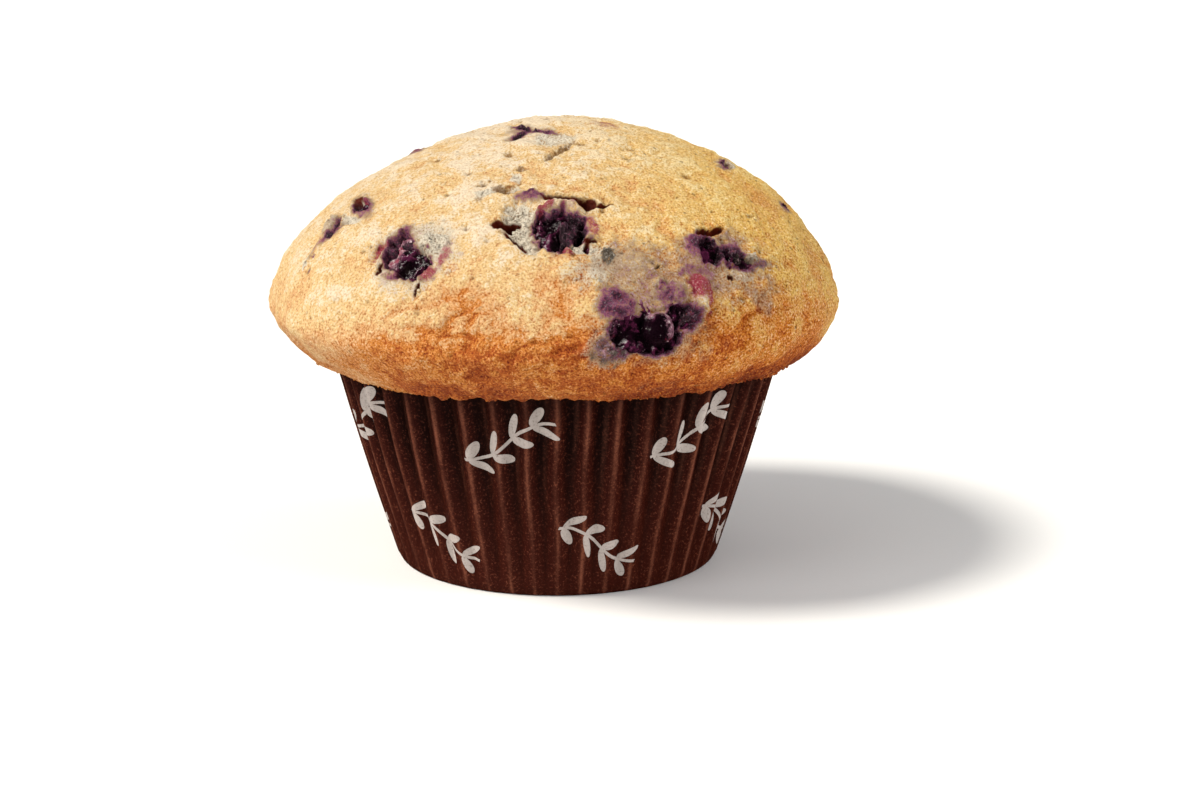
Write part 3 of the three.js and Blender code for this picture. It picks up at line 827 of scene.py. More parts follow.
SITES = [
    BerrySite("berry_front_burst", (13, 11.4, 9), 5.2, 1.6, (
        Mark(JUICE, (-1.5, 0.8), (19, 16), 0, 0, 0.26),
        Mark(JUICE, (9.0, -8.0), (18, 14), -20, 0, 0.4),
        Mark(CRUMB, (-6.4, 1.6), (6.8, 12.0), 10, -1.3),
        Mark(JUICE, (-5.2, 8.4), (5.4, 2.8), -10, 0.8, 0.76),
        Mark(BED, (-1.0, 0.8), (8.0, 9.2), 12, -3.6),
        Mark(GASH, (0.3, 7.8), (8.2, 2.2), -10, -3.0),
        Mark(GASH, (3.9, 6.3), (3.0, 3.0), -30, -2.8),
        Mark(GASH, (6.2, 6.1), (3.8, 0.9), 8, -1.2),
        Mark(FOLD, (0.2, 5.9), (5.0, 1.0), -12, 0.6),
        Mark(BLUSH, (0.8, 5.6), (5.4, 1.5), -16, 0.2, 0.45),
        Mark(BLUSH, (-3.2, 5.4), (4.2, 1.5), 34, 0.6, 0.8),
        Mark(GASH, (-9.7, 2.6), (4.6, 2.8), 8, -2.6),
        Mark(GASH, (-8.0, -1.4), (6.4, 1.0), -54, -1.2, 0.8),
        Mark(BLUSH, (4.4, 1.2), (2.4, 4.6), 10, 0.2, 0.8),
        Mark(BLUSH, (0.2, -4.6), (3.4, 1.6), 0, 0.1, 0.8),
        Mark(CRUMB, (2.4, -3.6), (3.8, 2.8), 0, -0.8),
        Mark(GASH, (3.8, -1.8), (2.8, 1.1), 0, -1.4),
        Mark(GASH, (3.3, -3.3), (1.0, 2.6), 0, -1.2, 0.9),
        Mark(CRUMB, (6.2, -5.4), (8.0, 6.4), -30, -0.2, 0.5),
        Mark(FRAGMENT, (6.6, -4.6), (2.1, 3.0), -25, 0.4, 0.95),
        Mark(CRUMB, (6.2, -4.0), (0.9, 1.0), 0, 0.2, 0.8),
        Mark(CRUMB, (-7.6, 14.5), (2.2, 3.2), 0, -0.2, 0.6),
        Mark(CRUMB, (-12.4, 10.9), (4.2, 1.9), 0, -0.3, 0.62),
        Mark(CRUMB, (-8.4, 11.0), (4.6, 1.8), -8, -0.3, 0.55),
        Mark(FOLD, (0.4, -7.9), (5.8, 3.8), 0, 0.9),
    ), core=(0.2, -0.2, 6.0, 6.4)),
    BerrySite("berry_front_left", (12.4, 10.4, 9), 4.9, 1.6, (
        Mark(CRUMB, (0.3, -0.1), (18.0, 15.4), 0, -0.1, 0.5),
        Mark(BLUSH, (0.2, -0.5), (18.5, 15.5), 0, 0, 0.34),
        Mark(BED, (1.3, -1.7), (6.0, 5.6), -10, -3.4),
        Mark(BED, (-2.7, 0.2), (4.6, 6.0), 20, -2.4, 0.9),
        Mark(BED, (-3.0, 3.2), (1.8, 3.2), 24, -1.2, 0.8),
        Mark(CRUMB, (3.4, 2.6), (5.6, 5.0), 10, 0.3, 1.0),
        Mark(JUICE, (2.6, 1.4), (1.6, 1.6), 0, -0.3, 0.7),
        Mark(BLUSH, (-6.6, 0.0), (2.0, 4.0), 0, -0.8),
        Mark(GASH, (-4.4, -3.5), (1.1, 3.0), 8, -1.0, 0.9),
        Mark(GASH, (3.9, -5.9), (0.8, 2.6), 0, -1.2),
        Mark(BLUSH, (6.3, 1.0), (2.4, 8.4), 6, 0.2, 0.66),
        Mark(BLUSH, (5.2, -3.2), (3.4, 2.6), 40, 0.2, 0.72),
        Mark(JUICE, (-0.6, -4.6), (6.0, 1.6), 0, 0, 0.8),
    ), core=(1.6, -1.7, 4.2, 5.0)),
    BerrySite("berry_front_low", (16, 10.8, 8.6), 4.0, 1.5, (
        Mark(CRUMB, (-5.0, 8.6), (17.0, 7.5), 0, 0, 0.34),
        Mark(JUICE, (0, 0.5), (26, 19), 0, 0, 0.34),
        Mark(JUICE, (-1.0, 9.4), (22.0, 11.0), 5, 0, 0.42),
        Mark(FOLD, (-7.4, 8.2), (5.0, 3.8), 10, 0.7),
        Mark(CRUMB, (-7.6, 8.4), (4.6, 3.6), 10, 0, 0.5),
        Mark(FOLD, (-1.0, 10.4), (5.4, 3.6), -10, 0.6),
        Mark(GASH, (2.6, 9.2), (1.9, 0.6), 30, -0.7, 0.5),
        Mark(JUICE, (1.2, 3.6), (20.0, 13.0), 4, 0, 0.52),
        Mark(CRUMB, (-7.9, -3.4), (7.0, 6.4), 20, 0, 0.35),
        Mark(JUICE, (-7.2, -3.2), (8.0, 6.6), 20, 0, 0.66),
        Mark(JUICE, (-6.0, -3.8), (5.0, 4.0), 20, 0.2, 0.86),
        Mark(FRAGMENT, (-7.4, -3.6), (7.0, 5.0), 20, 0, 0.46),
        Mark(FOLD, (-5.4, 3.6), (6.4, 5.6), 20, 0.9),
        Mark(JUICE, (-5.5, 3.2), (7.8, 7.6), 20, 0, 0.84),
        Mark(FOLD, (1.4, 5.6), (4.0, 3.8), 0, 0.9),
        Mark(FOLD, (5.2, 4.9), (4.2, 4.0), 0, 1.1),
        Mark(CRUMB, (3.4, 5.0), (6.4, 4.4), 0, 0, 0.6),
        Mark(JUICE, (3.4, 4.4), (8.0, 6.0), 0, 0, 0.68),
        Mark(JUICE, (6.2, 0.4), (6.6, 5.6), 0, 0.3, 0.94),
        Mark(JUICE, (-5.0, -0.8), (7.4, 7.2), 0, -0.4, 0.99),
        Mark(BED, (-1.2, -1.5), (9.8, 5.8), -3, -3.4),
        Mark(BED, (4.2, 1.0), (3.6, 2.6), 10, -2.4),
        Mark(FOLD, (9.0, 3.8), (4.4, 7.4), -8, 1.4),
        Mark(BLUSH, (8.8, 5.4), (4.8, 5.6), -20, 0, 0.95),
        Mark(CRUMB, (8.9, 2.8), (2.2, 3.8), 0, 0, 0.34),
        Mark(BLUSH, (10.4, 3.2), (1.6, 6.6), -8, 0, 0.9),
        Mark(JUICE, (8.0, 0.9), (3.2, 3.2), 0, 0, 0.72),
    ), core=(0.4, -1.4, 8.0, 5.6), lobes=((0.9, -1.0, 2.7, 2.6),)),
    BerrySite("berry_front_right", (13, 8, 7), 3.7, 1.0, (
        Mark(JUICE, (-1.5, -0.8), (23, 16), -14, 0, 0.5),
        Mark(CRUMB, (0.6, -3.4), (9.0, 4.0), -12, -0.2, 0.4),
        Mark(JUICE, (-8.0, -0.8), (7.2, 2.6), 12, 0, 0.66),
        Mark(JUICE, (-6.0, -2.6), (9.0, 5.0), 10, 0, 0.56),
        Mark(FOLD, (-3.8, 2.6), (5.8, 4.8), -20, 0.7),
        Mark(JUICE, (-3.6, 2.4), (7.8, 6.6), -24, 0.2, 0.88),
        Mark(JUICE, (1.8, -0.4), (11.6, 5.2), -20, -0.3, 0.93),
        Mark(BED, (-2.9, 1.3), (3.8, 4.2), -30, -2.6),
        Mark(BED, (0.2, 0.2), (3.8, 2.2), -30, -2.2),
        Mark(BED, (2.9, -1.2), (4.6, 2.0), -12, -2.0),
        Mark(CRUMB, (4.9, -1.0), (2.4, 2.2), 0, 0.6, 0.7),
        Mark(GASH, (-1.4, 5.0), (3.2, 1.7), -16, -1.4),
        Mark(GASH, (1.4, 5.2), (3.4, 1.5), 6, -1.2, 0.9),
        Mark(JUICE, (-2.6, 5.0), (2.8, 2.0), 0, -0.4, 0.92),
        Mark(GASH, (-1.2, -3.8), (1.3, 1.2), 0, -1.2),
        Mark(JUICE, (6.8, -2.2), (2.6, 3.0), -30, 0.2, 0.7),
        Mark(FRAGMENT, (4.4, -1.6), (6.4, 3.2), -20, 0, 0.42),
        Mark(JUICE, (4.8, -8.2), (4.4, 6.4), -10, -0.1, 0.36),
    ), core=(-0.4, 0.4, 9.0, 4.2)),
    BerrySite("berry_left_high", (6.8, 6.2, 6), 2.9, 1.9, (
        Mark(CRUMB, (0.4, -2.9), (8.0, 2.2), -8, -0.2, 0.7),
        Mark(GASH, (-3.2, 0.9), (4.2, 2.2), -14, -0.8, 0.8),
        Mark(BED, (-0.6, 0.1), (6.0, 1.9), -18, -1.8),
        Mark(BLUSH, (-1.0, 1.0), (5.0, 1.6), -18, 0.2, 0.6),
        Mark(CRUMB, (-2.6, 0.9), (1.6, 0.9), 0, 0.3, 0.9),
    ), core=(0.8, -0.6, 4.4, 2.2)),
    BerrySite("berry_left_low", (5.2, 8.4, 5), 2.5, 1.6, (
        Mark(JUICE, (-4.0, 4.4), (4.6, 6.4), 30, 0.5, 0.56),
        Mark(BLUSH, (-3.0, 0.6), (2.2, 7.0), 14, 0.2, 0.45),
        Mark(CRUMB, (-4.2, 4.6), (3.6, 5.2), 30, 0.1, 0.5),
        Mark(JUICE, (-2.9, -0.6), (1.6, 7.6), 4, 0.1, 0.42),
        Mark(CRUMB, (-2.6, -3.3), (1.2, 2.2), 0, 0.3, 0.7),
        Mark(JUICE, (-2.6, 5.0), (1.3, 6.4), 36, -1.0, 0.98),
        Mark(BED, (-1.5, 3.3), (1.1, 2.2), -20, -1.4),
        Mark(JUICE, (-1.9, -1.5), (0.8, 1.0), 0, -0.4, 0.85),
        Mark(JUICE, (-0.9, -3.9), (0.7, 1.4), 0, -0.5, 0.95),
    )),
    BerrySite("berry_top", (8.6, 6.6, 5.6), 2.8, 2.4, (
        Mark(CRUMB, (4.4, -0.4), (7.0, 8.4), -20, -0.3, 0.5),
        Mark(JUICE, (-3.4, 0.6), (8.0, 6.0), -25, 0, 0.42),
        Mark(BED, (-2.7, 1.5), (4.2, 1.6), -28, -1.8),
        Mark(BED, (-1.7, -2.0), (1.2, 2.4), 0, -1.2),
        Mark(BED, (0.2, 1.2), (3.0, 0.6), 10, -1.2),
        Mark(JUICE, (-5.4, 2.8), (3.4, 1.6), -28, 0, 0.7),
        Mark(BLUSH, (6.3, 11.7), (6.4, 6.0), 0, 0, 0.56),
    )),
    BerrySite("berry_right_high", (7, 5, 5), 2.5, 2.6, (
        Mark(BED, (-1.6, 1.0), (3.4, 1.2), -10, -1.4),
        Mark(CRUMB, (0.6, -0.4), (6.0, 3.4), -10, -0.3, 0.5),
        Mark(BED, (-1.5, -11.4), (1.6, 1.0), 0, -1.0),
    )),
    BerrySite("berry_right_low", (9.4, 8.2, 7), 3.8, 1.6, (
        Mark(CRUMB, (1.6, 0.2), (9.0, 8.4), 0, -0.2, 0.5),
        Mark(BED, (1.8, -0.2), (5.4, 4.8), 12, -2.6),
        Mark(JUICE, (2.6, -2.6), (5.0, 2.6), 0, 0.1, 0.6),
        Mark(GASH, (4.6, 3.0), (3.4, 0.9), -20, -1.2),
    )),
    hidden_site("berry_back_right", (12.6, 10.8, 9), 4.9, 1.6, 7),
    hidden_site("berry_back_burst", (12, 10.6, 9), 5.0, 1.8, 9),
    hidden_site("berry_back_low", (9, 7.6, 6.6), 3.5, 1.0, 12),
    hidden_site("berry_back_left", (13.4, 9.6, 8), 4.4, 1.4, 15),
    hidden_site("berry_back_high", (8.4, 7.6, 6.6), 3.3, 0.9, 18),
]


@dataclass(frozen=True)
class Crack:
    """A crack in the crust between two places, given as degrees around and up the crown."""

    start: tuple[float, float]
    end: tuple[float, float]
    width: float
    depth: float


CRACKS = [
    Crack((-81, 74.5), (-99.6, 61.6), 1.5, 1.3),
    Crack((-109, 61), (-106, 58.5), 1.6, 1.0),
    Crack((-104.7, 58.3), (-105, 53), 0.7, 1.0),
    Crack((-104.2, 51.8), (-112.2, 51.6), 2.3, 1.6),
    Crack((-115.8, 52.9), (-118.2, 52), 1.8, 1.6),
    Crack((96, 52), (118, 58), 1.5, 1.6),
    Crack((80, 50), (60, 55), 1.2, 1.4),
]


# ---- Cake ----

@dataclass
class CrownShape:
    """The plain outside of the cake: plug, lip, belly and crown, before its fine relief."""

    plug_foot: tuple[tuple[float, float], ...] = ((23.85, 0.0), (26.9, 2.4))  # radius and rise, going out
    plug_top_radius: float = 36.7
    rim_height_share: float = 0.5997  # of the crown's height
    relief_at_top: float = 0.2
    roundness: float = 1.77  # superellipse exponent of the crown
    belly_roundness: float = 1.45  # superellipse exponent of the underside
    lip_width: float = 0.6
    lip_below_case: float = 1.6  # the lip's under-edge, below the case's top
    lip_gap: float = 0.5
    rim_shift: float = -0.5
    lean: float = 2.1
    swell: float = 0.55
    lumps: float = 0.22
    drip: float = 0.4
    lip_sway: float = 0.4
    lip_rough: float = 0.5
    small_drips: tuple[tuple[float, float], ...] = (  # degrees around, and length
        (-117.5, 0.6), (-112, 0.5), (-105.5, 0.6), (-98, 0.5), (-63, 0.4))
    small_drip_half: float = 0.8  # of a small drip's width

    def __post_init__(self) -> None:
        """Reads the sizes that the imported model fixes."""
        low, high = node_box("cake")
        case_low, case_high = node_box("paper_case")
        self.rim_radius = float((high - low)[:2].mean() / 2)
        self.floor = float(low[2])
        self.top = float(high[2]) - self.relief_at_top
        self.rim_height = self.rim_height_share * self.top
        self.case_top = float(case_high[2])
        self.case_radius = float((case_high - case_low)[:2].mean() / 2)
        self.lip_height = self.case_top - self.lip_below_case
        self.lip_inside = self.case_radius + self.lip_gap

    def crown(self, climb: np.ndarray) -> tuple[np.ndarray, np.ndarray]:
        """Radius and height of the crown's profile.

        Args:
            climb: degrees, 0 at the rim and 90 at the top.

        Returns:
            Radii and heights.
        """
        turn = np.radians(climb)
        power = 2 / self.roundness
        radius = self.rim_radius * np.clip(np.cos(turn), 0, 1) ** power
        return radius, self.rim_height + (self.top - self.rim_height) * np.sin(turn) ** power

    def belly(self, share: np.ndarray) -> tuple[np.ndarray, np.ndarray]:
        """Radius and height of the underside's profile.

        Args:
            share: 0 at the lip and 1 at the rim.

        Returns:
            Radii and heights.
        """
        turn = (1 - share) * math.pi / 2
        power = 2 / self.belly_roundness
        inner = self.lip_inside + self.lip_width
        radius = inner + (self.rim_radius - inner) * np.cos(turn) ** power
        return radius, self.rim_height - (self.rim_height - self.lip_height) * np.sin(turn) ** power

    def spot(self, azimuth: float, climb: float) -> np.ndarray:
        """A place on the crown.

        Args:
            azimuth: degrees around the crown.
            climb: degrees up it.

        Returns:
            The place.
        """
        radius, height = self.crown(np.array([climb]))
        turn = math.radians(azimuth)
        return np.array([radius[0] * math.cos(turn) + self.lean_at(height)[0],
                         radius[0] * math.sin(turn), height[0]])

    def share_up(self, height: np.ndarray) -> np.ndarray:
        """Share of the crown's height, 0 at the rim and below it."""
        return np.clip((height - self.rim_height) / (self.top - self.rim_height), 0, 1)

    def lean_at(self, height: np.ndarray) -> np.ndarray:
        """Sideways drift of the cake's middle at a height."""
        on_belly = smoothstep(self.lip_height, self.rim_height, height)
        return self.rim_shift * on_belly + self.lean * self.share_up(height) ** 2

    def relief(self, points: np.ndarray) -> np.ndarray:
        """Broad, uneven rise of the batter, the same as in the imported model.

        Args:
            points: places on the crust.

        Returns:
            The rise at each.
        """
        x, y, z = points.T
        broad = np.sin(0.07 * x + 0.9) * np.cos(0.083 * y - 0.4) + 0.6 * np.sin(0.11 * (x - y) + 0.05 * z)
        small = np.sin(0.41 * x + 0.27 * z) * np.sin(0.37 * y - 0.31 * z + 1.1)
        return self.swell / 1.6 * broad + self.lumps * small

    def lip_drop(self, angle: np.ndarray) -> np.ndarray:
        """How far the lip's edge lies above its mean height around the case."""
        drips = 0.5 * np.sin(7 * angle + 0.6) + 0.3 * np.sin(17 * angle + 2) + 0.2 * np.sin(29 * angle)
        return self.drip * drips - self.lip_sway * np.cos(2 * angle)

    def edge_drips(self, angle: np.ndarray) -> np.ndarray:
        """Small drops of batter that hang from the lip's very edge.

        Args:
            angle: around the cake.

        Returns:
            How far the edge hangs down at each.
        """
        rough = self.lip_rough * Noise(21).fractal(ring(self.lip_inside, 0.0, angle), 1.5, 2)
        drops = sum(drop * bell(angle, math.radians(azimuth), self.small_drip_half / self.lip_inside)
                    for azimuth, drop in self.small_drips)
        return rough + drops

    def settle(self, points: np.ndarray) -> np.ndarray:
        """Gives the plain revolved surface its lean, swell and hanging lip.

        Args:
            points: the plain surface's vertices.

        Returns:
            Their new places.
        """
        x, y, z = points.T
        angle = np.arctan2(y, x)
        down = np.clip((self.rim_height - z) / (self.rim_height - self.lip_height), 0, 1)
        relief = self.relief(points) * (1 - down)
        z = z + self.lip_drop(angle) * down ** 2 - self.edge_drips(angle) * down ** 8
        upright = self.share_up(z)
        z = z + relief * upright
        x = x + relief * (1 - upright) * np.cos(angle) + self.lean_at(z)
        y = y + relief * (1 - upright) * np.sin(angle)
        return np.stack([x, y, z], axis=1)

    def place(self, site: BerrySite) -> None:
        """Finds where a berry's node meets the crust, and the crust's directions there.

        Args:
            site: the berry; its origin and axes are set.
        """
        low, high = node_box(site.node)
        middle = (low + high) / 2
        radius, height = self.crown(np.linspace(0, 89, 900))
        lean = self.lean_at(height)
        out = np.hypot(middle[0] - lean, middle[1])
        slope = np.stack([np.gradient(radius), np.gradient(height)], axis=1)
        slope /= np.linalg.norm(slope, axis=1, keepdims=True)
        along = (out - radius) * slope[:, 0] + (middle[2] - height) * slope[:, 1]
        best = int(np.argmin(np.abs(along)))
        angle = math.atan2(middle[1], middle[0] - lean[best])
        outwards = np.array([math.cos(angle), math.sin(angle), 0])
        across = np.array([-math.sin(angle), math.cos(angle), 0])
        up_slope = outwards * slope[best, 0] + np.array([0, 0, slope[best, 1]])
        site.origin = outwards * radius[best] + np.array([lean[best], 0, height[best]])
        site.axes = np.stack([across, up_slope, np.cross(across, up_slope)])


@dataclass
class Marks:
    """Lift along the normal and the material's masks, for every vertex of the crust."""

    lift: np.ndarray
    masks: dict[str, np.ndarray]

    @classmethod
    def blank(cls, count: int) -> "Marks":
        """No lift and empty masks for count vertices."""
        names = ("torn", "cold", "juice", "blush", "scorch", "fragment", "pit", "crumbs", "relief", "olive")
        return cls(np.zeros(count), {name: np.zeros(count) for name in names})

    def raise_mask(self, name: str, where: np.ndarray, values: np.ndarray) -> None:
        """Raises a mask to at least the given values."""
        self.masks[name][where] = np.maximum(self.masks[name][where], values)

    def clear(self, names: tuple[str, ...], where: np.ndarray, weight: np.ndarray) -> None:
        """Fades masks out where a later mark covers them."""
        for name in names:
            self.masks[name][where] *= 1 - weight


@dataclass(frozen=True)
class Footprint:
    """Where one mark touches the crust.

    marks is what the crust has so far. close says which vertices are near the mark and spots where
    those are. reach is their distance from its middle, 1 on its ragged outline, and wander the noise
    that makes the outline ragged.
    """

    mark: Mark
    marks: Marks
    close: np.ndarray
    spots: np.ndarray
    reach: np.ndarray
    wander: np.ndarray

    def inside(self, outer: float, inner: float) -> np.ndarray:
        """A cover that is 0 beyond the outer reach and full within the inner one."""
        return smoothstep(outer, inner, self.reach)

    def raise_mask(self, name: str, values: np.ndarray) -> None:
        """Raises a mask near the mark to at least the given values."""
        self.marks.raise_mask(name, self.close, values)


@dataclass(frozen=True)
class Grain:
    """The crust's own relief: lumps, grit, crumbly patches, and creases where the batter has slid.

    Each pair is a height and the size of what is lifted that far. The crust is smoother at its sides.
    """

    lump: tuple[float, float] = (0.42, 8.0)
    bump: tuple[float, float] = (0.36, 2.8)
    grit: tuple[float, float] = (0.18, 1.25)
    crumb: tuple[float, float] = (0.42, 2.0)
    crease: tuple[float, float] = (1.25, 3.8)
    lower: tuple[float, ...] = (0.12, 0.1, 0.25)  # how much lower bumps, grit and crumbs are at the sides
    left: tuple[float, float] = (-12, -36)  # where the crust begins to grow smoother, and is smoothest
    right: tuple[float, float] = (32, 46)
    crumbly_mm: float = 17.0
    creased_mm: float = 16.0
    crease_height: float = 49.5
    crease_band: float = 5.0
    crease_lie: tuple[tuple[float, ...], ...] = ((0.5, 0, 0), (0, 0.5, 0), (-0.35, 0, 1.4))  # wide and low

    def at(self, points: np.ndarray, lumps: Noise, grit: Noise, ragged: Noise) -> np.ndarray:
        """The relief at the crust's vertices.

        Args:
            points: the crust's vertices.
            lumps: noise for what is broad.
            grit: noise for what is fine.
            ragged: noise for creases and crumbs.

        Returns:
            The lift of each.
        """
        x, _, z = points.T
        smooth = np.maximum(smoothstep(*self.left, x), smoothstep(*self.right, x))
        bump, fine, crumb = (pair[0] - less * smooth
                             for pair, less in zip((self.bump, self.grit, self.crumb), self.lower))
        lift = self.lump[0] * lumps.fractal(points, self.lump[1], 2)
        lift += bump * grit.fractal(points, self.bump[1], 2) + fine * grit.plain(points, self.grit[1])
        crumbly = smoothstep(0.0, 0.5, lumps.plain(points + 40, self.crumbly_mm) + 0.2)
        lift += crumb * crumbly * (ragged.ridged(points, self.crumb[1]) - 0.4)
        creases = 1 - ragged.ridged(points @ np.array(self.crease_lie).T, self.crease[1])
        creased = smoothstep(-0.4, 0.4, lumps.plain(points, self.creased_mm) + 0.35)
        creased *= bell(z, self.crease_height, self.crease_band) * (1 - 0.75 * smooth)
        return lift - self.crease[0] * creased * creases ** 2.5


@dataclass(frozen=True)
class Baking:
    """How brown the crust is baked: palest on the crown's left, brownest towards the lip.

    The numbers are shares of the way from the palest crust to the darkest. The lower share at the far right
    is painted light.
    """

    palest: float = 0.065
    to_the_right: float = 0.1  # more at the far right, and less at the far left
    far_left: float = 0.045
    # painted light: less brown, so paler and more golden, at the far right
    far_right_painted_light: float = -0.12
    low_down: float = 0.26
    band: tuple[float, float, float] = (0.48, -0.43, -0.28)  # round the rim, and more on the right and left
    band_top: tuple[float, ...] = (4.4, 1.8, -1.5, 4.5)  # above the rim, and more in front, left and right
    band_fade: tuple[float, float] = (5.5, 5.0)  # height in which it fades, and more on the right
    underside: tuple[float, float] = (0.08, 0.64)  # everywhere, and more on the right
    front: tuple[float, float, float] = (0.11, 0.1, 0.4)  # half way up: how much, where and how wide
    wavy: tuple[float, float] = (0.36, 11.0)  # strength and size in millimetres of the band's waves
    uneven: tuple[float, float] = (0.13, 14.0)  # the same for the whole crust
    patches: tuple[tuple[float, ...], ...] = (  # middle, radius and how much browner the crust is there
        (26, -41, 45, 7, -0.14), (33, -35, 49, 6, 0.14), (-3, -48.5, 47, 5, -0.14), (-12, -47, 50.5, 6, 0.1),
        (-34, -32, 41, 7, -0.1), (-2, -45, 56, 7, 0.04))

    def at(self, points: np.ndarray, shape: CrownShape, lumps: Noise, ragged: Noise) -> np.ndarray:
        """How brown the crust is at its vertices.

        Args:
            points: the crust's vertices.
            shape: the crown's shape.
            lumps: noise that makes the band's edge uneven.
            ragged: noise that makes the whole uneven.

        Returns:
            From 0 for the palest crust to 1 for the darkest.
        """
        x, _, z = points.T
        side, up = np.clip(x / shape.rim_radius, -1, 1), shape.share_up(z)
        right, left = np.clip(side, 0, 1), np.clip(-side, 0, 1)
        top, top_front, top_left, top_right = self.band_top
        start = shape.rim_height + top + top_left * left + top_right * right
        start += top_front * bell(side, 0.05, 0.35)
        down = (start - z) / (self.band_fade[0] + self.band_fade[1] * right)
        down += self.wavy[0] * lumps.fractal(points, self.wavy[1], 3)
        brown, more_right, more_left = self.band
        band = brown + more_right * right + more_left * smoothstep(0.4, 0.85, left)
        under = smoothstep(shape.rim_height - 2, shape.lip_height + 1, z)
        more, middle, width = self.front
        tint = self.uneven[0] * ragged.fractal(points, self.uneven[1], 2)
        tint += more * bell(side, middle, width) * bell(up, 0.5, width)
        for *middle, radius, change in self.patches:
            tint += change * bell(np.linalg.norm(points - np.array(middle), axis=1), 0, radius)
        return (self.palest + self.to_the_right * side + self.far_left * smoothstep(0.3, 0.8, left)
                + self.low_down * (1 - up) + band * smoothstep(0.0, 1.0, down)
                + (self.underside[0] + self.underside[1] * right) * under
                + self.far_right_painted_light * smoothstep(0.75, 1.0, side) + tint)


@dataclass
class Cake:
    """The muffin's cake: one closed mesh from its foot inside the case to the top of its crown."""

    shape: CrownShape
    texture: Grain = Grain()
    baking: Baking = Baking()
    spacing: float = 0.56  # between vertices of the crust
    ring_pitch: float = 0.87  # of that spacing
    plug_spacing: float = 2.0
    plug_rings: int = 3
    torn_depth: float = 0.35  # of the shallowest mark whose edge needs finer triangles
    pit_count: int = 380
    pit_radius: float = 0.78
    pit_seed: int = 31
    raggedness: float = 0.36  # of the marks' outlines
    roughness: float = 0.16  # the same, finer
    shaded: tuple[float, float] = (-8, 36)  # where the painted shade of the side away from the lamp begins and is full
    ragged: Noise = field(default_factory=lambda: Noise(8))
    lumps: Noise = field(default_factory=lambda: Noise(3))
    grit: Noise = field(default_factory=lambda: Noise(5))

    def profile(self) -> list[tuple[float, float]]:
        """Radius and height of each ring, from the foot's middle out and up to the crown's top.

        Returns:
            Pairs of radius and height.
        """
        shape = self.shape
        shoulder = shape.case_top + shape.lip_gap
        inside = [(radius, shape.floor + rise) for radius, rise in shape.plug_foot]
        inside += [(shape.plug_top_radius, shoulder), (shape.lip_inside, shoulder),
                   (shape.lip_inside, shape.lip_height)]
        samples = np.linspace(0, 1, 400)
        radius, height = shape.belly(samples)
        crown_radius, crown_height = shape.crown(samples[1:] * 90)
        line = np.stack([np.r_[radius, crown_radius], np.r_[height, crown_height]], axis=1)
        length = np.r_[0, np.cumsum(np.linalg.norm(np.diff(line, axis=0), axis=1))]
        stations = np.linspace(0, length[-1], int(length[-1] / (self.spacing * self.ring_pitch)))[:-1]
        outside = np.stack([np.interp(stations, length, line[:, i]) for i in (0, 1)], axis=1)
        return inside + [tuple(station) for station in outside]

    def rings(self) -> tuple[np.ndarray, list]:
        """The plain surface of revolution.

        Returns:
            Its vertices and triangles.
        """
        points = [ring(0.0, self.shape.floor, np.zeros(1))]
        bands = [(0, 1, 0.0)]  # number of a ring's first vertex, its count, and its offset in steps
        for number, (radius, height) in enumerate(self.profile()):
            spacing = self.plug_spacing if number < self.plug_rings else self.spacing
            count = max(6, int(TAU * radius / spacing))
            bands.append((bands[-1][0] + bands[-1][1], count, 0.5 * (number % 2)))
            points.append(ring(radius, height, (np.arange(count) + bands[-1][2]) * TAU / count))
        bands.append((bands[-1][0] + bands[-1][1], 1, 0.0))
        points.append(ring(0.0, self.shape.top, np.zeros(1)))
        faces = [face for lower, upper in zip(bands, bands[1:]) for face in self.stitch(lower, upper)]
        return np.concatenate(points), faces

    @staticmethod
    def stitch(lower: tuple[int, int, float], upper: tuple[int, int, float]) -> list:
        """Fills the band between two rings of vertices that may differ in number.

        Args:
            lower: number of the lower ring's first vertex, its count, and its offset in steps.
            upper: the same for the upper ring.

        Returns:
            Triangles whose faces point out.
        """
        first, first_count, first_turn = lower
        second, second_count, second_turn = upper
        if first_count == 1:
            return [(first, second + (i + 1) % second_count, second + i) for i in range(second_count)]
        if second_count == 1:
            return [(second, first + i, first + (i + 1) % first_count) for i in range(first_count)]
        triangles = []
        i = j = 0
        while i < first_count or j < second_count:
            next_first = (i + 1 + first_turn) / first_count
            next_second = (j + 1 + second_turn) / second_count
            a, b = first + i % first_count, second + j % second_count
            if j >= second_count or (i < first_count and next_first <= next_second):
                triangles.append((a, first + (i + 1) % first_count, b))
                i += 1
            else:
                triangles.append((a, second + (j + 1) % second_count, b))
                j += 1
        return triangles

    def refine(self, piece: Object) -> None:
        """Splits the triangles around the berries' beds, so that torn edges come out crisp.

        Args:
            piece: the cake; its mesh is changed.
        """
        points = read_vectors(piece.data.vertices, "co") / MM
        near = np.zeros(len(points), dtype=bool)
        for site in SITES:
            local = site.local(points)
            for mark in site.marks:
                if mark.lift < -self.torn_depth and mark.kind is not FOLD:
                    reach = np.hypot(local[:, 0] - mark.at[0], local[:, 1] - mark.at[1])
                    near |= (reach < max(mark.size) / 2 + 0.8) & (np.abs(local[:, 2]) < 6)
        work = bmesh.new()
        work.from_mesh(piece.data)
        work.verts.ensure_lookup_table()
        edges = [edge for edge in work.edges if near[edge.verts[0].index] and near[edge.verts[1].index]]
        bmesh.ops.subdivide_edges(work, edges=edges, cuts=1, use_grid_fill=True)
        bmesh.ops.triangulate(work, faces=[face for face in work.faces if len(face.verts) > 3])
        work.to_mesh(piece.data)
        work.free()

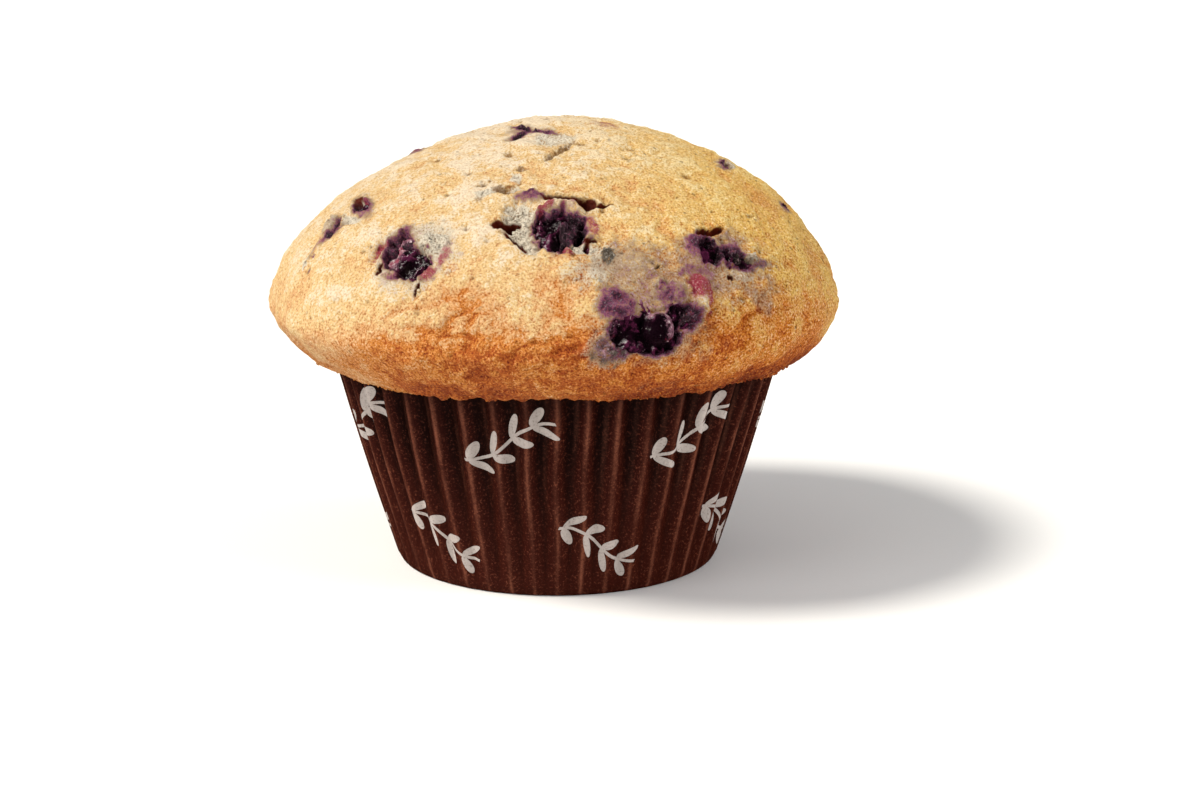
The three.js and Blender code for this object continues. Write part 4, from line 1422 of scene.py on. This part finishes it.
    def pits(self, marks: Marks, points: np.ndarray, skin: np.ndarray) -> None:
        """Presses the crust's larger pores: small uneven pits, more of them towards the top.

        Args:
            marks: what the crust has so far; it is changed.
            points: the crust's vertices.
            skin: 1 on the outside and 0 inside the case.
        """
        random = np.random.default_rng(self.pit_seed)
        chance = skin * (0.15 + self.shape.share_up(points[:, 2]))
        centres = points[random.choice(len(points), self.pit_count, replace=False, p=chance / chance.sum())]
        for centre in centres:
            radius = self.pit_radius * random.uniform(0.5, 1.0) ** 1.5
            stretch = 1 + random.uniform(0, 1.3, 3) * (random.random() < 0.4)
            near = np.flatnonzero((np.abs(points - centre) < 3 * radius).all(axis=1))
            reach = np.linalg.norm((points[near] - centre) / stretch, axis=1) / radius
            marks.lift[near] -= 0.8 * radius * bell(reach, 0, 0.9)
            # Painted shade on the pit's floor.
            marks.raise_mask("pit", near, random.uniform(0.5, 1.0) * bell(reach, 0, 1.0))

    def footprint(self, marks: Marks, points: np.ndarray, site: BerrySite, mark: Mark) -> Footprint:
        """Where a mark touches the crust.

        Args:
            marks: what the crust has so far.
            points: the crust's vertices.
            site: the berry that the mark belongs to.
            mark: the mark.

        Returns:
            The vertices near it and how far each lies from its middle.
        """
        local = site.local(points)
        offset = local[:, :2] - np.array(mark.at)
        close = (np.hypot(*offset.T) < max(mark.size) * 0.9 + 1.5) & (np.abs(local[:, 2]) < 8)
        spots, offset = points[close], offset[close]
        turn = math.radians(mark.turn)
        along = offset[:, 0] * math.cos(turn) + offset[:, 1] * math.sin(turn)
        aside = offset[:, 1] * math.cos(turn) - offset[:, 0] * math.sin(turn)
        narrow = min(mark.size)
        wander = self.ragged.fractal(spots, min(max(narrow * 0.6, 1.2), 4.0), 3)
        bend = self.lumps.plain(spots, 5.0) * min(0.1 * max(mark.size), 0.4 * narrow)
        reach = np.hypot(along / (mark.size[0] / 2), (aside + bend) / (mark.size[1] / 2))
        reach = reach * (1 + self.raggedness * wander + self.roughness * self.grit.plain(spots, 1.1))
        return Footprint(mark, marks, close, spots, reach, wander)

    def press(self, foot: Footprint) -> None:
        """Adds one mark's lift and masks to the crust.

        Args:
            foot: where the mark touches it.
        """
        ways = {BED: self.press_bed, GASH: self.press_gash, CRUMB: self.press_crumb, FOLD: self.press_fold}
        foot.marks.lift[foot.close] += ways.get(foot.mark.kind, self.press_stain)(foot)

    def press_bed(self, foot: Footprint) -> np.ndarray:
        """Sets the masks of a berry's hollow, with shreds of crust left over it and a raised edge.

        Args:
            foot: where the mark touches the crust.

        Returns:
            The lift.
        """
        hole = foot.inside(1.14, 0.86)
        rough = self.ragged.ridged(foot.spots, 1.6) - 0.4
        shreds = self.lumps.plain(foot.spots + 7, 2.6) + 0.5 * self.grit.plain(foot.spots, 1.3)
        left = smoothstep(0.12, 0.55, shreds)
        foot.marks.clear(("cold", "blush", "scorch", "fragment"), foot.close, hole)
        foot.raise_mask("torn", foot.inside(1.35, 1.0))
        beyond = np.clip(foot.reach - 1.05, 0, None) * min(foot.mark.size) / 2
        foot.raise_mask("juice", foot.mark.strength * np.exp(-beyond / 0.7))
        edge = 0.3 * bell(foot.reach, 1.25, 0.15)
        return foot.mark.lift * (1 - 0.85 * left) * hole + edge + 0.4 * hole * rough

    def press_gash(self, foot: Footprint) -> np.ndarray:
        """Sets the mask of a tear's painted shade and returns its lift."""
        foot.raise_mask("scorch", foot.mark.strength * foot.inside(1.25, 0.75))
        return foot.mark.lift * foot.inside(1.15, 0.25) + 0.2 * bell(foot.reach, 1.4, 0.25)

    def press_crumb(self, foot: Footprint) -> np.ndarray:
        """Sets the masks of crumb laid bare, which dries out the stains under it.

        Args:
            foot: where the mark touches the crust.

        Returns:
            The lift.
        """
        strength, bare = foot.mark.strength, foot.inside(1.25, 0.65)
        foot.marks.clear(("juice", "blush"), foot.close, 0.85 * strength * bare)
        foot.raise_mask("torn", strength * bare)
        foot.raise_mask("cold", strength * foot.inside(1.25, 0.5))
        foot.raise_mask("crumbs", strength * bare)
        return foot.mark.lift * bare + 0.7 * strength * bare * (self.ragged.ridged(foot.spots, 1.5) - 0.45)

    def press_fold(self, foot: Footprint) -> np.ndarray:
        """Sets the masks of a raised lump of batter.

        Args:
            foot: where the mark touches the crust.

        Returns:
            The lift.
        """
        height = dome(foot.reach)
        foot.raise_mask("torn", 0.5 * foot.inside(1.0, 0.6))
        # Raises the relief mask, so the lump's top gets painted light.
        foot.marks.masks["relief"][foot.close] += height ** 2
        return foot.mark.lift * height * (1 + 0.3 * foot.wander)

    def press_stain(self, foot: Footprint) -> np.ndarray:
        """Sets the mask of a stain, which fades out, or of a scrap of skin, which ends sharply.

        Args:
            foot: where the mark touches the crust.

        Returns:
            The lift.
        """
        cover = foot.inside(1.1, 0.85) if foot.mark.kind is FRAGMENT else foot.inside(1.3, 0.4)
        foot.raise_mask(foot.mark.kind.value, foot.mark.strength * cover)
        return foot.mark.lift * cover

    def split(self, marks: Marks, points: np.ndarray, crack: Crack) -> None:
        """Opens one crack in the crust.

        Args:
            marks: what the crust has so far; it is changed.
            points: the crust's vertices.
            crack: the crack.
        """
        start, end = self.shape.spot(*crack.start), self.shape.spot(*crack.end)
        way = end - start
        share = np.clip((points - start) @ way / (way @ way), 0, 1)
        wander = self.ragged.fractal(points, 3.0, 3)
        apart = np.linalg.norm(points - (start + share[:, None] * way), axis=1)
        close = apart < crack.width * 2 + 3
        fullness = 0.3 + 0.7 * np.sin(np.pi * share[close]) ** 0.6
        bow = 0.6 * np.sin(np.pi * share[close])
        reach = np.abs(apart[close] - bow * 0.3 + 0.7 * wander[close]) / (crack.width / 2 * fullness)
        reach = np.maximum(reach, np.clip(apart[close] - crack.width - 0.9, 0, None) * 3)
        marks.lift[close] -= crack.depth * smoothstep(1.2, 0.2, reach) * fullness
        # Painted shade along the crack.
        marks.raise_mask("pit", close, 0.9 * smoothstep(1.4, 0.7, reach))

    def body(self) -> Object:
        """Makes the cake's mesh before its relief: smooth inside the case, settled outside it.

        Returns:
            The cake.
        """
        shape = self.shape
        points, faces = self.rings()
        radius = np.hypot(points[:, 0], points[:, 1])
        hidden = (points[:, 2] <= shape.case_top + shape.lip_gap + 0.01) & (radius <= shape.lip_inside + 0.01)
        hidden &= (points[:, 2] > shape.lip_height + 0.01) | (radius < shape.lip_inside - 0.01)
        piece = make_mesh_object("cake_crust", np.where(hidden[:, None], points, shape.settle(points)), faces)
        self.refine(piece)
        return piece

    def build(self, crust: Material) -> Object:
        """Makes the cake with its relief, its marks and its material.

        Args:
            crust: the material.

        Returns:
            The cake.
        """
        shape = self.shape
        for site in SITES:
            shape.place(site)
        piece = self.body()
        mesh = piece.data
        places, normals = read_vectors(mesh.vertices, "co") / MM, read_vectors(mesh.vertex_normals, "vector")
        radius = np.hypot(places[:, 0], places[:, 1])
        skin = np.maximum(smoothstep(shape.lip_inside + 0.1, shape.lip_inside + 1.0, radius),
                          smoothstep(shape.case_top + 1, shape.case_top + 3, places[:, 2]))
        marks = Marks.blank(len(places))
        marks.lift += self.texture.at(places, self.lumps, self.grit, self.ragged)
        # The relief mask paints raised places paler and hollows browner: painted light and shade.
        marks.masks["relief"] += 2.2 * marks.lift
        # Where the side away from the lamp gets its painted shade.
        marks.masks["olive"] += smoothstep(*self.shaded, places[:, 0])
        self.pits(marks, places, skin)
        for site in SITES:
            for mark in site.marks:
                self.press(self.footprint(marks, places, site, mark))
        for crack in CRACKS:
            self.split(marks, places, crack)
        mesh.vertices.foreach_set("co", ((places + normals * (marks.lift * skin)[:, None]) * MM).ravel())
        edge = bell(places[:, 2], shape.lip_height + 0.6, 0.8) * (radius > shape.lip_inside + 0.5)
        marks.raise_mask("crumbs", np.arange(len(places)), 0.7 * edge)
        browning = self.baking.at(places, shape, self.lumps, self.ragged)
        store_values(mesh, {**marks.masks, "browning": browning})
        mesh.update()
        mesh.materials.append(crust)
        LOG.info("cake: %d triangles", len(mesh.polygons))
        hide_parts("cake")
        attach(piece, "root")
        return piece


@dataclass
class LooseCrumbs:
    """Crumbs that stand on the torn places and along the lip, scattered by a geometry node tree."""

    spacing: float = 0.7  # least distance between two crumbs
    density: float = 0.9  # crumbs for each square millimetre of bare crumb
    smallest: float = 0.12  # radius
    largest: float = 0.42
    unevenness: float = 0.2
    lump_mm: float = 0.6
    flattest: tuple[float, float, float] = (0.7, 0.7, 0.5)  # stretch along each axis
    fullest: tuple[float, float, float] = (1.3, 1.0, 0.9)
    seed: int = 6

    def build(self, cake: Object, crust: Material) -> Object:
        """Scatters the crumbs over a copy of the cake's surface and keeps only them.

        Args:
            cake: the cake, whose crumbs value says where they stand.
            crust: their material.

        Returns:
            The crumbs.
        """
        draft = GeometryDraft("loose_crumbs", {
            "Spacing": self.spacing * MM, "Density": self.density / MM ** 2, "Smallest": self.smallest * MM,
            "Largest": self.largest * MM, "Unevenness": self.unevenness * MM, "Seed": self.seed})
        add, size = draft.add, draft.size
        seed = {"Seed": size("Seed")}
        bare = add("GeometryNodeInputNamedAttribute", "crumbs", data_type="FLOAT")
        spots = add("GeometryNodeDistributePointsOnFaces", draft.given, distribute_method="POISSON", named={
            "Distance Min": size("Spacing"), "Density Max": size("Density"),
            "Density Factor": add(MAP_RANGE, bare, 0.25, 0.9), **seed})
        ball = add("GeometryNodeMeshIcoSphere", named={"Radius": 1.0, "Subdivisions": 1})
        radius = add(RANDOM, size("Smallest"), size("Largest"), data_type="FLOAT", named=seed)
        turn = add(RANDOM, (0.0, 0.0, 0.0), (TAU, TAU, TAU), data_type="FLOAT_VECTOR", named=seed)
        squash = add(RANDOM, self.flattest, self.fullest, data_type="FLOAT_VECTOR", named=seed)
        crumbs = add("GeometryNodeInstanceOnPoints", spots, named={
            "Instance": ball, "Rotation": turn, "Scale": add(VECTOR_MATH, squash, radius, operation="SCALE")})
        whole = add("GeometryNodeRealizeInstances", crumbs)
        lumpy = add(NOISE, add("GeometryNodeInputPosition"), named={"Scale": per_metre(self.lump_mm)})
        centred = add(VECTOR_MATH, lumpy.other("Color"), (0.5, 0.5, 0.5), operation="SUBTRACT")
        push = add(VECTOR_MATH, centred, size("Unevenness"), operation="SCALE")
        uneven = add("GeometryNodeSetPosition", whole, named={"Offset": push})
        piece = draft.bake(link_object("crumb_ground", cake.data.copy()), uneven, crust, "loose_crumbs")
        LOG.info("loose crumbs: %d faces", len(piece.data.polygons))
        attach(piece, "root")
        return piece


# ---- Berries ----

@dataclass
class BerryPulp:
    """What shows of one burst berry: folded skin and pulp, fallen in at the top."""

    site: BerrySite
    seed: int
    squareness: float = 3.4  # exponent of the superellipsoid: its top stays broad under the crust
    large: float = 9.5  # a berry wider than this gets the finer mesh
    fold_mm: float = 2.6
    full_folds: float = 9.0  # height of a berry whose folds have their full depth

    def ball(self) -> tuple[np.ndarray, list]:
        """A ball of triangles.

        Returns:
            Directions from its middle to its vertices, and its faces.
        """
        work = bmesh.new()
        bmesh.ops.create_icosphere(work, subdivisions=6 if self.site.size[0] > self.large else 5, radius=1)
        directions = np.array([vertex.co for vertex in work.verts])
        faces = [[vertex.index for vertex in face.verts] for face in work.faces]
        work.free()
        return directions / np.linalg.norm(directions, axis=1, keepdims=True), faces

    def relief(self, local: np.ndarray, folds: Noise) -> tuple[np.ndarray, np.ndarray, np.ndarray]:
        """Folds, fallen core and round swellings of the berry's top.

        Args:
            local: the plain berry's vertices.
            folds: the noise that folds its skin.

        Returns:
            The lift of each vertex, and the material's crest and edge values.
        """
        site, fine = self.site, Noise(self.seed + 50)
        fold = 1 - folds.ridged(local * np.array([1.0, 0.7, 0.8]), self.fold_mm)
        across, up, width, height = site.core or (0, 0, site.size[0] / 2, site.size[1] / 2)
        apart = np.hypot((local[:, 0] - across) * 2 / width, (local[:, 1] - up) * 2 / height)
        apart += 0.35 * folds.plain(local, 2.4)
        fallen = site.dent * (0.45 + 0.55 * smoothstep(1.3, 0.3, apart))
        lift = min(1.0, site.size[1] / self.full_folds) * (
            1.3 * (fold - 0.6) + 0.55 * (0.5 - fine.ridged(local, 1.3)) + 0.2 * fine.fractal(local, 0.8, 2))
        # crest sets the colour: darker in creases and in the fallen core, as painted shade.
        crest = 0.5 + 0.5 * (lift - 0.5 * fallen)
        edge = smoothstep(1.0, 2.5, apart)
        for across, up, radius, rise in site.lobes:
            x, y = (local[:, 0] - across) / radius, (local[:, 1] - up) / radius
            reach = np.hypot(x, y)
            lobe = dome(reach)
            # Painted highlight: a pale mauve crescent along the top of each swelling, carried by the edge
            # value.
            painted_crescent_highlight = 0.9 * bell(reach, 0.95, 0.18) * smoothstep(0.2, 0.9, y)
            paler_part = 0.8 * smoothstep(-0.3, 0.6, x) * smoothstep(0.0, 0.4, lobe)
            # edge carries the berry's mauve rim, and also the painted highlight and the paler right half of
            # each swelling.
            edge = np.maximum(edge, np.maximum(painted_crescent_highlight, paler_part))
            lift = lift * (1 - 0.6 * (lobe > 0)) + rise * lobe
            crest *= 1 - 0.4 * smoothstep(0, 0.5, lobe)
        return lift - fallen, np.clip(crest, 0, 1), edge

    def build(self, material: Material) -> Object:
        """Makes the berry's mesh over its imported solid.

        Args:
            material: of the berry.

        Returns:
            The berry.
        """
        site, folds = self.site, Noise(self.seed)
        directions, faces = self.ball()
        half = np.array(site.size) / 2
        plain = 1 / (np.abs(directions / half) ** self.squareness).sum(axis=1) ** (1 / self.squareness)
        local = directions * plain[:, None]
        lift, crest, edge = self.relief(local, folds)
        local[:, 2] += smoothstep(-0.1, 0.35, directions[:, 2]) * lift - site.sunk
        local[:, :2] *= (1 + 0.07 * folds.plain(directions * 3, 1.3))[:, None]
        piece = make_mesh_object(site.node + "_pulp", site.origin + local @ site.axes, faces)
        store_values(piece.data, {"crest": crest, "edge": edge})
        piece.data.materials.append(material)
        LOG.info("berry %s", site.node)
        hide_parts(site.node)
        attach(piece, "root")
        return piece


# ---- Paper case ----

@dataclass
class PaperCase:
    """The pleated case: a plain closed cup that a geometry node tree folds into pleats."""

    pleats: int = 44
    columns_per_pleat: int = 14
    wall_rows: int = 60
    corner_rows: int = 8
    paper: float = 0.4
    corner: float = 0.7
    depth_top: float = 1.6
    depth_foot: float = 0.8
    bulge: float = 0.3  # of the wall, outwards at half height
    flare: float = 0.294
    round_at_foot: float = 0.5  # power of the crest's wave: low is broad and rounded, high is a sharp ridge
    sharp_at_top: float = 1.5
    highlight_sharpness: float = 22.0  # the same power for the narrow line along the crest that is painted as a highlight
    crease_rise: float = 0.14
    crease_place: float = 0.64  # of a pleat's width
    crease_half: float = 0.11
    wander: float = 0.7  # of the pleats' lines, in pleats
    wander_mm: float = 30.0
    fade: float = 2.2  # width in which the pleats grow out of the flat foot

    def __post_init__(self) -> None:
        """Reads the case's height and radii from its node."""
        low, high = node_box("paper_case")
        self.height = float(high[2])
        self.top_radius = float((high - low)[:2].mean() / 2)
        self.foot_radius = self.top_radius - self.flare * self.height
        self.flat_radius = self.foot_radius - self.corner

    def wall(self, height: float) -> float:
        """Radius over the ridges at a height."""
        return self.foot_radius + self.flare * height + self.bulge * math.sin(math.pi * height / self.height)

    def plain_cup(self) -> Object:
        """Makes the closed cup before it is pleated.

        Returns:
            The cup.
        """
        flat, corner = self.flat_radius, self.corner
        lean = math.pi / 2 - math.atan(self.flare)
        profile = [(flat * share, 0.0) for share in (0.25, 0.5, 0.75, 0.9, 1.0)]
        profile += [(flat + corner * math.sin(turn), corner * (1 - math.cos(turn)))
                    for turn in np.linspace(0, lean, self.corner_rows)[1:]]
        profile += [(self.wall(z), z) for z in np.linspace(profile[-1][1], self.height, self.wall_rows)[1:]]
        profile += [(self.wall(z) - self.paper, z)
                    for z in np.linspace(self.height, corner, self.corner_rows)]
        profile += [(flat, self.paper), (flat * 0.5, self.paper)]
        columns = self.pleats * self.columns_per_pleat
        angles = np.arange(columns) * TAU / columns
        points = [ring(0.0, 0.0, np.zeros(1)), *(ring(radius, z, angles) for radius, z in profile),
                  ring(0.0, self.paper, np.zeros(1))]
        steps = [(i, (i + 1) % columns) for i in range(columns)]
        last = 1 + columns * len(profile)
        faces = [(0, 1 + after, 1 + i) for i, after in steps]
        for base in range(1, last - columns, columns):
            above = base + columns
            faces += [(base + i, base + after, above + after, above + i) for i, after in steps]
        faces += [(last, last - columns + i, last - columns + after) for i, after in steps]
        return make_mesh_object("paper_cup", np.concatenate(points), faces)

    def pleated(self, draft: GeometryDraft) -> Output:
        """Folds the cup: ridges sharp at the top and broad at the foot, and a crease in each pleat.

        Args:
            draft: the geometry node tree.

        Returns:
            The folded cup, with the values that its material reads.
        """
        add, size = draft.add, draft.size
        position = add("GeometryNodeInputPosition")
        x = add("ShaderNodeSeparateXYZ", position)
        y, z = x.other("Y"), x.other("Z")
        radius = add(MATH, x * x + y * y, operation="SQRT")
        wander = add(NOISE, position, named={"Scale": per_metre(self.wander_mm), "Detail": 1.0}) - 0.5
        pleat = add(MATH, y, x, operation="ARCTAN2") / TAU * size("Pleats") + wander * self.wander
        wave = add(MATH, pleat * TAU, operation="COSINE") * 0.5 + 0.5
        rise = z / size("Height")
        foot, top = size("Roundness at the foot"), size("Sharpness at the top")
        crest = add(MATH, wave, add(MAP_RANGE, rise, 0.1, 0.9) * (top - foot) + foot, operation="POWER")
        off_crease = add(MATH, pleat, operation="FRACT") - size("Crease place")
        off_crease = add(MATH, off_crease, operation="ABSOLUTE")
        crease = add(MAP_RANGE, off_crease, 0.0, self.crease_half, 1.0, 0.0) * add(MAP_RANGE, rise, 0.3, 0.7)
        # The narrow line along the crest that gets a painted highlight.
        ridge = add(MATH, wave, self.highlight_sharpness, operation="POWER") + crease * 0.25
        depth = rise * (size("Depth at the top") - size("Depth at the foot")) + size("Depth at the foot")
        inwards = depth * (crest - 1.0) + crease * size("Crease rise")
        inwards *= add(MAP_RANGE, radius - size("Flat radius"), 0.0, self.fade * MM)
        inwards *= add(MAP_RANGE, rise, 0.0, 0.2, 0.3, 1.0)
        outward = add(VECTOR_MATH, add("ShaderNodeCombineXYZ", x, y), operation="NORMALIZE")
        offset = add(VECTOR_MATH, outward, inwards, operation="SCALE")
        folded = add("GeometryNodeSetPosition", draft.given, named={"Offset": offset})
        for name, value in (("crest", crest), ("rise", rise), ("ridge", ridge)):
            folded = add("GeometryNodeStoreNamedAttribute", folded, data_type="FLOAT", domain="POINT",
                         named={"Name": name, "Value": value})
        return folded

    def build(self) -> Object:
        """Makes the pleated case.

        Returns:
            The case.
        """
        draft = GeometryDraft("pleats", {
            "Pleats": float(self.pleats), "Depth at the top": self.depth_top * MM,
            "Depth at the foot": self.depth_foot * MM, "Height": self.height * MM,
            "Flat radius": self.flat_radius * MM, "Roundness at the foot": self.round_at_foot,
            "Sharpness at the top": self.sharp_at_top, "Crease rise": self.crease_rise * MM,
            "Crease place": self.crease_place})
        paper = CasePaperFinish().material()
        piece = draft.bake(self.plain_cup(), self.pleated(draft), paper, "pleated_case")
        LOG.info("paper case: %d faces", len(piece.data.polygons))
        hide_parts("paper_case")
        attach(piece, "root")
        return piece


# ---- Studio ----

@dataclass(frozen=True)
class Sun:
    """A distant soft light that shines from one direction."""

    name: str
    towards: tuple[float, float, float]
    spread: float  # degrees
    power: float
    colour: str = "#FFFFFF"
    glossy: bool = True  # whether wet places mirror it

    def build(self) -> Object:
        """Makes the light.

        Returns:
            The light.
        """
        data = bpy.data.lights.new(self.name, "SUN")
        data.angle = math.radians(self.spread)
        data.energy = self.power
        data.color = linear(self.colour)[:3]
        light = link_object(self.name, data)
        light.rotation_euler = Vector(self.towards).to_track_quat("Z", "Y").to_euler()
        light.visible_glossy = self.glossy
        return light


@dataclass
class Studio:
    """White floor, soft lights and the camera."""

    camera_place: tuple[float, float, float] = (0.0, -0.450, 0.13655)
    camera_aim: tuple[float, float, float] = (0.00753, 0.0, 0.02704)
    lens_mm: float = 79.2
    sensor_mm: float = 36.0
    suns: tuple[Sun, ...] = (
        Sun("key", (-0.6, -0.16, 0.78), 18.0, 3.55, "#FFFAF0"),
        Sun("left", (-0.85, -0.5, 0.15), 40.0, 1.2, glossy=False),  # no veil on wet berries
        Sun("side", (0.92, -0.22, 0.34), 40.0, 1.8, glossy=False))
    air: str = "#FFFFFF"
    air_strength: float = 0.38
    floor_half: float = 3000.0

    def build(self) -> None:
        """Makes the camera, the floor, the lights and the light from all around."""
        self.make_camera()
        self.make_floor()
        for sun in self.suns:
            sun.build()
        world = bpy.data.worlds.new("studio")
        bpy.context.scene.world = world
        world.use_nodes = True
        back = world.node_tree.nodes["Background"]
        back.inputs["Color"].default_value = linear(self.air)
        back.inputs["Strength"].default_value = self.air_strength
        world.cycles_visibility.glossy = False
        bpy.context.scene.view_settings.view_transform = "Standard"

    def make_camera(self) -> None:
        """Makes the camera."""
        data = bpy.data.cameras.new("camera")
        data.lens = self.lens_mm
        data.sensor_width = self.sensor_mm
        camera = link_object("camera", data)
        camera.location = self.camera_place
        aim = Vector(self.camera_aim) - Vector(self.camera_place)
        camera.rotation_euler = aim.to_track_quat("-Z", "Y").to_euler()
        bpy.context.scene.camera = camera

    def make_floor(self) -> None:
        """Makes a wide flat floor."""
        half = self.floor_half
        corners = np.array([[-half, -half, 0], [half, -half, 0], [half, half, 0], [-half, half, 0]])
        floor = make_mesh_object("floor", corners, [(0, 1, 2, 3)], smooth=False)
        floor.data.materials.append(FloorFinish().material())
        floor.visible_glossy = False  # no hard-edged pale patch in wet berries


def main() -> None:
    """Builds the muffin and its studio."""
    logging.basicConfig(level=logging.INFO, format="%(name)s: %(message)s")
    Studio().build()
    crust = CrustFinish().material()
    cake = Cake(CrownShape()).build(crust)
    LooseCrumbs().build(cake, crust)
    pulp = BerryFinish().material()
    for number, site in enumerate(SITES):
        BerryPulp(site, 100 + number).build(pulp)
    PaperCase().build()


if __name__ == "__main__":
    main()
